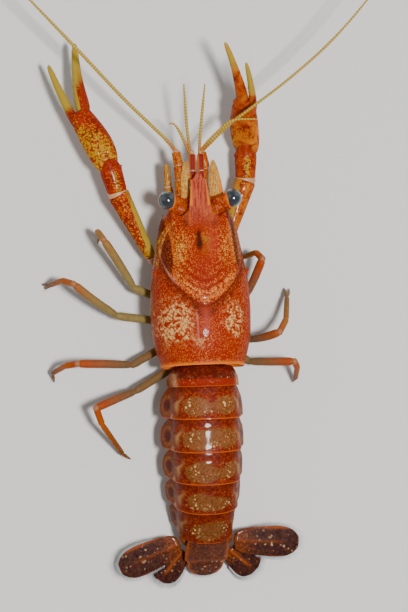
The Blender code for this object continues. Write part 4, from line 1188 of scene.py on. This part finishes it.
def fringe(root, tip, halfWidth, topSide, many=60, length=0.85):
    root, reach, way, across, lift = bladeFrame(root, tip, topSide)
    roots, ways, lengths = [], [], []
    for side in (-1, 1):
        for share in np.linspace(0.35, 1.0, many):
            width = halfWidth * along(bladeShape, share, 0.03)
            roots.append(root + way * reach * share * 0.985 + across * side * width * 0.97)
            ways.append(across * side * (1.15 - share) * 1.6 + way * (0.35 + share) + lift * 0.05)
            lengths.append(length * (0.45 + 0.55 * float(rise(share, 0.3, 0.7))))
    for turn in np.linspace(-1, 1, 16):
        roots.append(root + way * reach * 0.985 + across * turn * halfWidth * 0.25)
        ways.append(way + across * turn * 0.35)
        lengths.append(length)
    lengths = np.array(lengths) * seeds.uniform(0.85, 1.1, len(lengths))
    return roots, ways, lengths


def bladeMarks(root, tip, halfWidth, topSide, innerRib):
    root, length, way, across, lift = bladeFrame(root, tip, topSide)

    def marks(spots):
        away = spots - root
        share = away @ way / length
        side = away @ across / halfWidth
        outward = side * np.sign(across[1])
        edge = (0.9 * rise(outward, 0.72, 0.95) + 0.5 * rise(-outward, 0.85, 0.97)
                + 0.5 * rise(share, 0.97, 1.0))
        rib = hump(side, 0, 0.1) * (1 - rise(share, 0.6, 0.9)) * (1.0 if innerRib else 0.4)
        fleck = (0.2 + 0.8 * hump(share, 0.6, 0.3)) * (0.45 + 0.55 * hump(side, 0.35, 0.35))
        return {"edge": held(edge), "rib": rib, "fleck": fleck, "warm": 0.9 * (1 - rise(share, 0.0, 0.5))}
    return marks


def makeFan():
    settle(makeTelson(), "tail_plate", fanMaterial, ("telson",), telsonMarks)
    for side, sign in bothSides:
        spots = blades[side]
        base = np.array(spots["base"])
        hip = np.array((sign * 1.9, base[1] + 0.55, base[2] + 0.1))
        foot = tube(stretch(hip, base - hip, ((0, 0.5, 0.4), (0.5, 0.7, 0.42), (1, 0.85, 0.42))), sides=14)
        settle(foot, "fan_base_" + side, fanMaterial, ("uropod_base_" + side,),
               lambda spots: {"edge": 0.2, "fleck": 0.2, "warm": 1.0})
        way = unit(np.array(spots["outer"]) - base)
        hairs = []
        for part, root, tip, half, top, seam in (
                ("outer", base + way * 0.2, spots["outer"], fan["outerHalf"], (0, -0.15, 1), True),
                ("inner", spots["innerRoot"], spots["inner"], fan["innerHalf"], (0, -0.4, 1), False)):
            blade = makeBlade(root, tip, half, top, seam)
            settle(blade, "fan_%s_%s" % (part, side), fanMaterial,
                   ("uropod_%s_%s" % (part, side),), bladeMarks(root, tip, half, top, not seam))
            hairs.append(bristles(*fringe(root, tip, half, top), "fan"))
        settle(join(hairs), "fan_fringe_" + side, paleBristleMaterial)
    at = np.linspace(-1, 1, 60)
    roots = [fanPoint(a * 1.9 * (1 - 0.55 * abs(a) ** 6), 5.15 - 1.15 * abs(a) ** 2.2) for a in at]
    ways = [fanPoint(a * 0.5, 1.0) - fanPoint(0, 0) for a in at]
    hair = bristles(roots, ways, seeds.uniform(0.6, 0.8, len(roots)), "fan")
    settle(hair, "tail_plate_fringe", paleBristleMaterial)


makeFan()
print("tail fan made")


# Claw arms

# way is the hand's, towards its moving finger; fixed and finger are the places of the tips; roots are
# the places and sizes of the two fingers at the palm; dome is the end of the forearm over the palm
arms = {
    "L": {"root": (-3.4, 11.0, 2.5), "hip": (-4.7, 12.0, 2.9), "elbow": (-8.5, 19.3, 4.7),
          "wrist": (-9.45, 22.65, 5.0), "way": (-0.49, 0.865, -0.08), "towards": (0.865, 0.49, 0.0),
          "palm": 6.5, "fixed": (12.8, 0.13), "finger": (13.4, 3.95), "roots": (-0.66, 0.82, 1.05, 1.4),
          "warm": 0.0, "slim": 1.0, "dome": ((0.0, 0.3, 1.02, 0.8), (0.26, 0.42, 0.74, 0.62),
                                             (0.46, 0.45, 0.35, 0.42))},
    "R": {"root": (2.9, 11.3, 2.4), "hip": (3.4, 12.7, 2.5), "elbow": (6.05, 20.6, 3.2),
          "wrist": (6.25, 24.1, 3.1), "way": (-0.08, 0.785, 0.615), "towards": (-0.88, 0.1, -0.46),
          "palm": 6.3, "fixed": (11.2, -0.1), "finger": (13.4, 2.3), "roots": (-0.88, 0.3, 0.8, 1.6),
          "warm": 0.75, "slim": 0.74, "dome": ((0.1, 0.3, 1.15, 0.85), (0.55, 0.5, 0.98, 0.76),
                                               (0.95, 0.62, 0.56, 0.5), (1.12, 0.6, 0.22, 0.25))},
    "grain": 0.11, "bow": 0.25}


def bumps(stations, up, many, radius, first=0.1, last=0.95):
    # small tubercles set at seeded places on the upper side of a tube
    table = np.array([(*centre, width, height) for centre, width, height in stations])
    parts = []
    for _ in range(many):
        share = seeds.uniform(first, last) * (len(table) - 1)
        i = min(int(share), len(table) - 2)
        step = table[i + 1] - table[i]
        *centre, width, height = table[i] + step * (share - i)
        across = unit(np.cross(step[:3], up))
        lift = np.cross(across, unit(step[:3]))
        turn = math.pi * seeds.uniform(0.1, 0.9)
        out = across * width * math.cos(turn) + lift * height * math.sin(turn)
        parts.append(ball(centre + out - unit(out) * radius * 0.35, radius, detail=(8, 6)))
    return parts


def makeArm(side, sign):
    arm = arms[side]
    start, root, hip, elbow, wrist, up = arrays(
        (sign * 2.2, 10.6, 2.4), *(arm[k] for k in ("root", "hip", "elbow", "wrist")), (0, 0, 1))
    first = tube([(start, 0.8, 0.5), (root, 0.76, 0.6), (hip - unit(hip - root) * 0.05, 0.62, 0.58)],
                 sides=14)
    settle(first, "arm_base_" + side, legMaterial, ("arm_root_" + side,),
           lambda spots: {"limb": 0.1})
    way = elbow - hip
    stations = stretch(hip, way, (
        (0.01, 0.6, 0.55), (0.12, 0.7, 0.62), (0.3, 0.8, 0.7), (0.7, 1.09, 0.85), (0.9, 1.2, 0.9),
        (0.97, 1.3, 0.95), (1.0, 1.25, 0.92)))
    across = unit(np.cross(way, up))
    thorns = [spike(hip + way * 0.86 + up * 0.6 + across * 0.3 * turn,
                    hip + way * 0.98 + up * 0.85 + across * 0.5 * turn, 0.2) for turn in (-1, 1)]
    thigh = fuse([tube(stations, sides=16)] + thorns + bumps(stations, up, 26, 0.1, 0.4), arms["grain"])

    def thighMarks(spots):
        u = (spots - hip) @ unit(way)
        inside = rise((spots - hip) @ across * -sign - 0.09 * u, -0.5, 0.05)
        return {"yellow": 0.3 + 0.25 * (1 - rise(u, 0.5, 4.5)), "warm": arm["warm"] * 0.5,
                "finger": 0.9 * inside * (1 - 0.4 * rise(u, 5.0, 8.5))}
    settle(thigh, "upper_arm_form_" + side, clawMaterial, ("upper_arm_" + side,), thighMarks)

    handWay = unit(arm["way"])
    toFinger = np.array(arm["towards"], float)
    toFinger = unit(toFinger - handWay * np.dot(toFinger, handWay))
    lift = np.cross(toFinger, handWay)
    lift *= np.sign(lift[2])

    def at(u, v, w=0.0):
        return wrist + handWay * u + toFinger * v + lift * w

    # the forearm ends in a dome that lies over the root of the palm
    way = wrist - elbow
    stations = stretch(elbow, way, (
        (0.01, 1.14, 0.86), (0.08, 1.18, 0.9), (0.3, 1.16, 0.93), (0.6, 1.3, 1.0), (0.82, 1.26, 0.98)))
    stations += [(wrist + handWay * u + up * w, width, height) for u, w, width, height in arm["dome"]]
    across = unit(np.cross(way, up))
    inner = -sign * across * np.sign(across[0])
    thorns = [spike(elbow + way * 0.66 + inner * 0.95, elbow + way * 0.86 + inner * 1.45, 0.26)]
    wristForm = fuse([tube(stations, sides=16)] + thorns + bumps(stations, up, 34, 0.1), arms["grain"])

    def forearmMarks(spots):
        u = (spots - wrist) @ unit(way)
        middle = hump((spots - elbow) @ across, 0.1, 0.45) * (1 - rise(u, -1.3, -0.4))
        return {"yellow": 0.06 + 0.6 * middle, "streak": 0.75 * rise(u, -1.2, 0.3), "warm": arm["warm"] * 0.2}
    settle(wristForm, "forearm_form_" + side, clawMaterial, ("forearm_" + side,), forearmMarks)

    palm = arm["palm"]
    stations = [(at(palm * share, -0.22 + 0.38 * rise(share, -0.12, 0.4)), width, height)
                for share, width, height in (
        (-0.12, 0.7, 0.42), (-0.07, 1.1, 0.6), (0.0, 1.36, 0.74), (0.08, 1.52, 0.86), (0.2, 1.66, 0.98),
        (0.38, 1.72, 1.07), (0.62, 1.62, 1.04), (0.86, 1.38, 0.93), (0.98, 1.24, 0.82), (1.03, 1.04, 0.66))]
    tipU, tipV = arm["fixed"]
    fixed = []
    fixedRoot, movingRoot, fixedSize, movingSize = arm["roots"]
    for share, width, height in ((-0.3, 0.56, 0.8), (-0.1, 0.56, 0.74), (0.0, 0.54, 0.66), (0.25, 0.47, 0.5),
                                 (0.55, 0.42, 0.37), (0.92, 0.33, 0.26), (1.0, 0.15, 0.13)):
        v = fixedRoot + (tipV - fixedRoot) * max(0, share) ** 1.5
        fixed.append((at(palm + (tipU - palm) * share, v), width * fixedSize, height))
    tip = fixed[-1][0]
    parts = [tube(stations, sides=20, up=lift), tube(fixed, sides=14, up=lift),
             spike(tip - handWay * 0.2, tip + handWay * 0.1 + toFinger * 0.22, 0.12)]
    parts += bumps(stations, lift, 90, 0.11, 0.12, 0.9)
    parts += bumps(fixed[1:], lift, 18, 0.08, 0.1, 0.6)
    for share in (0.12, 0.24, 0.34, 0.45, 0.56, 0.68, 0.8):
        v = fixedRoot + (tipV - fixedRoot) * share ** 1.5
        width = np.interp(share, (0, 0.25, 0.55, 0.92), (0.54, 0.47, 0.39, 0.26)) * fixedSize
        parts.append(ball(at(palm + (tipU - palm) * share, v + width), 0.16 - 0.07 * share, detail=(10, 8)))
    hand = fuse(parts, arms["grain"])

    def handMarks(spots):
        u, v = (spots - wrist) @ handWay, (spots - wrist) @ toFinger
        yellow = 0.5 * (1 - rise(u + 0.9 * v, palm * 0.3, palm * 0.95)) + 0.2
        yellow -= 0.2 * hump(v, 1.4, 0.45) * (u < palm)
        if side == "L":
            return {"yellow": yellow, "finger": rise(u, palm * 0.85, palm * 1.35),
                    "streak": 0.6 * most(hump(v, 1.6, 0.4), 0.5 * hump(u, palm, 0.6)) * (u < palm + 0.3)}
        return {"yellow": yellow * (0.4 + 0.5 * rise(v, 0.3, 1.2)), "finger": rise(u, palm * 1.0, palm * 1.3),
                "streak": 0.55 * hump(u, palm * 0.97, 1.4),
                "warm": arm["warm"] * (1 - 0.7 * rise(u, palm * 0.45, palm * 0.75))}
    settle(hand, "hand_" + side, clawMaterial, ("claw_" + side,), handMarks)

    tipU, tipV = arm["finger"]
    baseU = palm + 0.05

    def fingerAt(share, aside=0.0):
        v = movingRoot + (tipV - movingRoot) * share - arms["bow"] * math.sin(math.pi * max(0, share))
        return at(baseU + (tipU - baseU) * share, v + aside)

    stations = []
    for share, width, height in (
            (-0.07, 0.5, 0.55), (0.0, 0.6, 0.68), (0.1, 0.63, 0.68), (0.28, 0.58, 0.56),
            (0.55, 0.53, 0.44), (0.8, 0.46, 0.36), (0.93, 0.37, 0.29), (1.0, 0.18, 0.15)):
        width *= arm["slim"] * (movingSize + (1 - movingSize) * rise(share, 0, 0.7))
        stations.append((fingerAt(share), width, height))
    tip = stations[-1][0]
    parts = [tube(stations, sides=14, up=lift),
             spike(tip - handWay * 0.2, tip + handWay * 0.1 - toFinger * 0.2, 0.12)]
    parts += bumps(stations, lift, 18, 0.08, 0.1, 0.6)
    for share in (0.2, 0.3, 0.4, 0.5, 0.6, 0.72):
        width = np.interp(share, (0, 0.28, 0.55, 0.93), (0.6, 0.58, 0.52, 0.35)) * arm["slim"]
        width *= movingSize + (1 - movingSize) * rise(share, 0, 0.7)
        parts.append(ball(fingerAt(share, -width), 0.15 - 0.07 * share, detail=(10, 8)))
    finger = fuse(parts, arms["grain"])

    def fingerMarks(spots):
        # red along the outer side of its root, olive yellow along the inner side and towards the tip
        share = ((spots - wrist) @ handWay - baseU) / (tipU - baseU)
        middle = movingRoot + (tipV - movingRoot) * share - arms["bow"] * np.sin(math.pi * held(share))
        aside = (spots - wrist) @ toFinger - middle
        if side == "R":
            return {"yellow": 0.15, "finger": 0.95 * rise(share, 0.0, 1.0), "warm": 0.6 * arm["warm"],
                    "streak": 0.8 * (1 - rise(share, 0.15, 0.6))}
        return {"yellow": 0.25, "finger": most(rise(share, 0.12, 0.6), 0.8 * rise(-aside, 0.15, 0.45)),
                "streak": (1 - rise(share, 0.25, 0.75)) * rise(aside, -0.2, 0.15), "warm": arm["warm"]}
    settle(finger, "finger_" + side, clawMaterial, ("claw_finger_" + side,), fingerMarks)

    skins = [ball(hip, 0.5, detail=(16, 12)), ball(elbow, 1.0, (1.15, 1.0, 0.72), detail=(24, 16)),
             ball(wrist, 0.6, detail=(16, 12))]
    settle(join(skins), "arm_skin_" + side, membraneMaterial)

    roots, ways, lengths = [], [], []
    for u in np.linspace(palm * 0.3, tipU - 0.5, 46):
        for edge in (-1, 1):
            v = np.interp(u, (palm * 0.3, palm, tipU), (1.5, 1.1, abs(tipV) if edge > 0 else 0.5))
            roots.append(at(u, v * edge * 0.9, seeds.uniform(-0.1, 0.2)))
            ways.append(toFinger * edge + handWay * seeds.uniform(0.6, 1.2) + lift * seeds.uniform(-0.3, 0.4))
            lengths.append(seeds.uniform(0.35, 0.6))
    settle(bristles(roots, ways, lengths, "hand"), "hand_hair_" + side, bristleMaterial)


for letter, direction in bothSides:
    makeArm(letter, direction)
print("claws made")


# Walking legs

# the feet start a little below the floor and are flattened on it
footLevel = -0.06
legGrain = 0.085
rootY = {2: 7.4, 3: 5.2, 4: 3.1, 5: 1.0}
legs = {
    ("L", 2): ((-3.4, 7.5, 2.4), (-6.9, 8.9, 3.2), (-8.7, 11.7, 4.5), (-10.4, 14.2, 5.6), (-10.9, 15.2, 4.5),
               (-10.4, 14.9, 1.8), (-10.0, 14.5, footLevel)),
    ("L", 3): ((-3.4, 5.1, 2.4), (-8.9, 5.9, 3.3), (-11.6, 7.6, 4.9), (-13.9, 9.4, 5.9), (-15.0, 9.9, 4.6),
               (-16.1, 9.6, 1.8), (-16.5, 9.3, footLevel)),
    ("L", 4): ((-3.4, 2.6, 2.4), (-7.4, 0.45, 3.3), (-10.6, 0.6, 4.8), (-13.8, 0.7, 5.7), (-15.0, 0.55, 4.6),
               (-16.1, -0.1, 1.5), (-15.8, -1.2, footLevel)),
    ("L", 5): ((-3.3, -0.3, 2.35), (-7.1, -2.4, 3.1), (-9.6, -3.3, 4.5), (-11.9, -4.2, 5.5),
               (-11.2, -6.0, 4.6), (-8.6, -9.3, 0.9), (-7.5, -10.0, footLevel)),
    ("R", 2): ((3.4, 7.4, 2.4), (5.7, 7.8, 3.0), (6.5, 9.7, 4.3), (7.2, 11.6, 5.5), (6.7, 12.4, 4.4),
               (5.7, 12.1, 2.0), (5.0, 11.7, footLevel)),
    ("R", 3): ((3.4, 4.6, 2.4), (5.9, 2.8, 3.7), (7.3, 3.0, 5.2), (8.6, 3.4, 6.5), (9.6, 4.8, 5.3),
               (10.4, 7.4, 2.2), (10.5, 8.7, footLevel)),
    ("R", 4): ((3.3, 2.4, 2.4), (5.6, 0.4, 3.1), (7.9, 0.25, 4.4), (10.3, 0.15, 5.6), (10.8, -0.5, 4.5),
               (11.1, -1.6, 1.6), (11.0, -2.0, footLevel)),
    ("R", 5): ((3.0, 0.2, 2.2), (3.1, -2.6, 1.7), (3.3, -4.6, 1.6), (3.5, -6.4, 1.6), (3.5, -7.9, 1.4),
               (3.3, -10.4, 0.6), (3.1, -11.8, footLevel))}

# how much painted green light from the backdrop shows through each leg, towards its root and towards its foot
backdropGreenLegs = {("L", 2): (0.9, 0.75), ("L", 3): (0.85, 0.1), ("L", 4): (0.25, 0.0), ("L", 5): (0.25, 0.0),
            ("R", 2): (0.1, 0.1), ("R", 3): (0.2, 0.35), ("R", 4): (0.3, 0.0), ("R", 5): (0.3, 0.2)}


def legMarks(points, start, end, pale):
    # how far along the whole leg, from 0 at its root to 1 at its foot
    points = arrays(*points)
    values = np.linspace(start, end, len(points))

    def marks(spots):
        best = np.full(len(spots), 1e9)
        result = np.zeros(len(spots))
        for (a, b), (low, high) in zip(zip(points, points[1:]), zip(values, values[1:])):
            t = np.clip((spots - a) @ (b - a) / np.dot(b - a, b - a), 0, 1)
            away = np.linalg.norm(spots - (a + np.outer(t, b - a)), axis=1)
            near = away < best
            best = np.where(near, away, best)
            result = np.where(near, low + (high - low) * t, result)
        return {"limb": result, "pale": pale[0] + (pale[1] - pale[0]) * rise(result, 0.3, 0.6)}
    return marks


def makeLeg(side, place):
    root, hip, thigh, knee, wrist, ankle, foot = arrays(*legs[side, place])
    start = np.array((dict(bothSides)[side] * 2.2, rootY[place], 2.3))
    label = "leg_%d_" % place
    pale = backdropGreenLegs[side, place]
    upper, skins = joined([start, root, hip], (0.5, 0.5, 0.46), sides=12)
    shin = curve([hip, thigh, knee], 4)
    widths = np.interp(np.linspace(0, 1, len(shin)), (0, 0.08, 0.5, 0.88, 1), (0.36, 0.46, 0.5, 0.5, 0.44))
    upper.append(tube([(p, w, w * 1.04) for p, w in zip(shin, widths)], sides=12))
    upper += skins + [bead(hip, 0.4)]
    settle(fuse(upper, legGrain, 3), label + "thigh_" + side, legMaterial,
           ("leg_%d_upper_%s" % (place, side),), legMarks([start, root, hip, thigh, knee], 0.0, 0.46, pale))
    lower, skins = joined([knee, wrist, ankle], (0.42, 0.37, 0.3), sides=12, flat=1.0)
    lower += skins + [bead(ankle, 0.22)]
    if place in (2, 3):
        palm = ankle + (foot - ankle) * 0.15
        out = unit(foot - palm)
        apart = np.cross(out, (0, 0, 1))
        apart = unit(apart if np.linalg.norm(apart) > 0.2 else (1, 0, 0))
        lower.append(tube([(ankle, 0.26, 0.24), (palm, 0.3, 0.26), (palm + (foot - palm) * 0.5, 0.2, 0.18),
                           (foot, 0.12, 0.12)], sides=10))
        fingerTip = foot + apart * 0.6 + (0, 0, 0.25)
        middle = palm + apart * 0.3 + out * 0.25
        lower.append(tube([(palm, 0.18, 0.18), (middle, 0.19, 0.18), ((middle + fingerTip) / 2, 0.14, 0.13),
                           (fingerTip, 0.06, 0.06)], sides=10))
    else:
        lower.append(tube(stretch(ankle, foot - ankle, ((0, 0.24, 0.24), (0.4, 0.2, 0.2), (1, 0.11, 0.11))),
                          sides=10))
    settle(flatten(fuse(lower, legGrain, 3)), label + "shin_" + side, legMaterial,
           ("leg_%d_lower_%s" % (place, side),), legMarks([knee, wrist, ankle, foot], 0.46, 1.0, pale))
    settle(bead(knee, 0.38), label + "skin_" + side, legSkinMaterial)
    roots, ways = [], []
    for a, b, many in ((hip, knee, 8), (wrist, ankle, 16), (ankle, foot, 14)):
        for share in np.linspace(0.05, 0.9, many):
            turn = int(seeds.uniform(0, 16))
            around = ringAbout((0, 0, 0), b - a, (0.3, 0.2, 0.9), 1, 1, 16)[turn]
            roots.append(a + (b - a) * share + around * 0.18)
            ways.append(around + unit(b - a) * 0.9)
    lengths = [min(seeds.uniform(0.25, 0.45), max(0.05, spot[2])) for spot in roots]
    settle(flatten(bristles(roots, ways, lengths, "leg")), label + "hair_" + side, bristleMaterial)


for letter, index in legs:
    makeLeg(letter, index)

breast = tube([((0, 0.1, 2.4), 1.2, 0.25), ((0, 1.0, 2.3), 1.75, 0.4), ((0, 6.0, 2.3), 2.0, 0.42),
               ((0, 10.5, 2.3), 2.0, 0.42), ((0, 12.6, 2.75), 1.5, 0.4), ((0, 14.6, 3.25), 1.3, 0.5),
               ((0, 16.4, 4.0), 1.1, 0.5)], sides=24)
settle(breast, "breastplate", legMaterial, ("sternum",), lambda spots: {"limb": 0.12})
print("legs made")


# Floor, light and camera

floorLook = {"colour": (0.80, 0.78, 0.74), "roughness": 0.7}
bpy.ops.mesh.primitive_plane_add(size=1.2)
floor = bpy.context.object
floor.name = "floor"
floorMaterial, floorTree, floorShader = startMaterial("floor")
plug(floorShader, {"Base Color": (*floorLook["colour"], 1.0), "Roughness": floorLook["roughness"]})
floor.data.materials.append(floorMaterial)

lights = {
    "key": {"place": (0.03, -0.03, 0.30), "aim": (0, -0.005, 0.005), "power": 1.0, "size": 0.035},
    "fill": {"place": (-0.28, 0.12, 0.20), "aim": (0, 0, 0.005), "power": 0.22, "size": 0.35},
    "rim": {"place": (0.25, 0.22, 0.18), "aim": (0, 0, 0.005), "power": 0.2, "size": 0.3}}
for name, light in lights.items():
    bpy.ops.object.light_add(type="AREA", location=light["place"])
    lamp = bpy.context.object
    lamp.name = "light_" + name
    lamp.data.energy = light["power"]
    lamp.data.size = light["size"]
    way = Vector(light["aim"]) - Vector(light["place"])
    lamp.rotation_euler = way.to_track_quat("-Z", "Y").to_euler()

view = {"roll": 9.0, "pitch": 3.01, "turn": 2.281, "pixelsPerMm": 9.105, "target": (0.38, 6.554, 6.0),
        "distance": 300.0, "sensor": 24, "rows": 612}


def makeCamera():
    roll, pitch, turn = (math.radians(view[k]) for k in ("roll", "pitch", "turn"))
    back = Vector((-math.sin(roll) * math.cos(pitch), -math.sin(pitch), math.cos(roll) * math.cos(pitch)))
    target = (Vector(view["target"]) + originShift) * 0.001
    up = Vector((0, 1, 0))
    up = (up - back * up.dot(back)).normalized()
    right = up.cross(back)
    up = up * math.cos(turn) + right * math.sin(turn)
    right = up.cross(back)
    data = bpy.data.cameras.new("camera")
    camera = bpy.data.objects.new("camera", data)
    bpy.context.scene.collection.objects.link(camera)
    matrix = Matrix((right, up, back)).transposed().to_4x4()
    matrix.translation = target + back * view["distance"] * 0.001
    camera.matrix_world = matrix
    data.sensor_fit = "VERTICAL"
    data.sensor_height = view["sensor"]
    data.lens = view["sensor"] * view["pixelsPerMm"] * view["distance"] / view["rows"]
    data.clip_start = 0.01
    bpy.context.scene.camera = camera


makeCamera()

sky = {"colour": (0.9, 0.95, 1.0), "strength": 0.2}
world = bpy.data.worlds.new("studio")
world.use_nodes = True
plug(world.node_tree.nodes["Background"], {"Color": (*sky["colour"], 1.0), "Strength": sky["strength"]})
bpy.context.scene.world = world
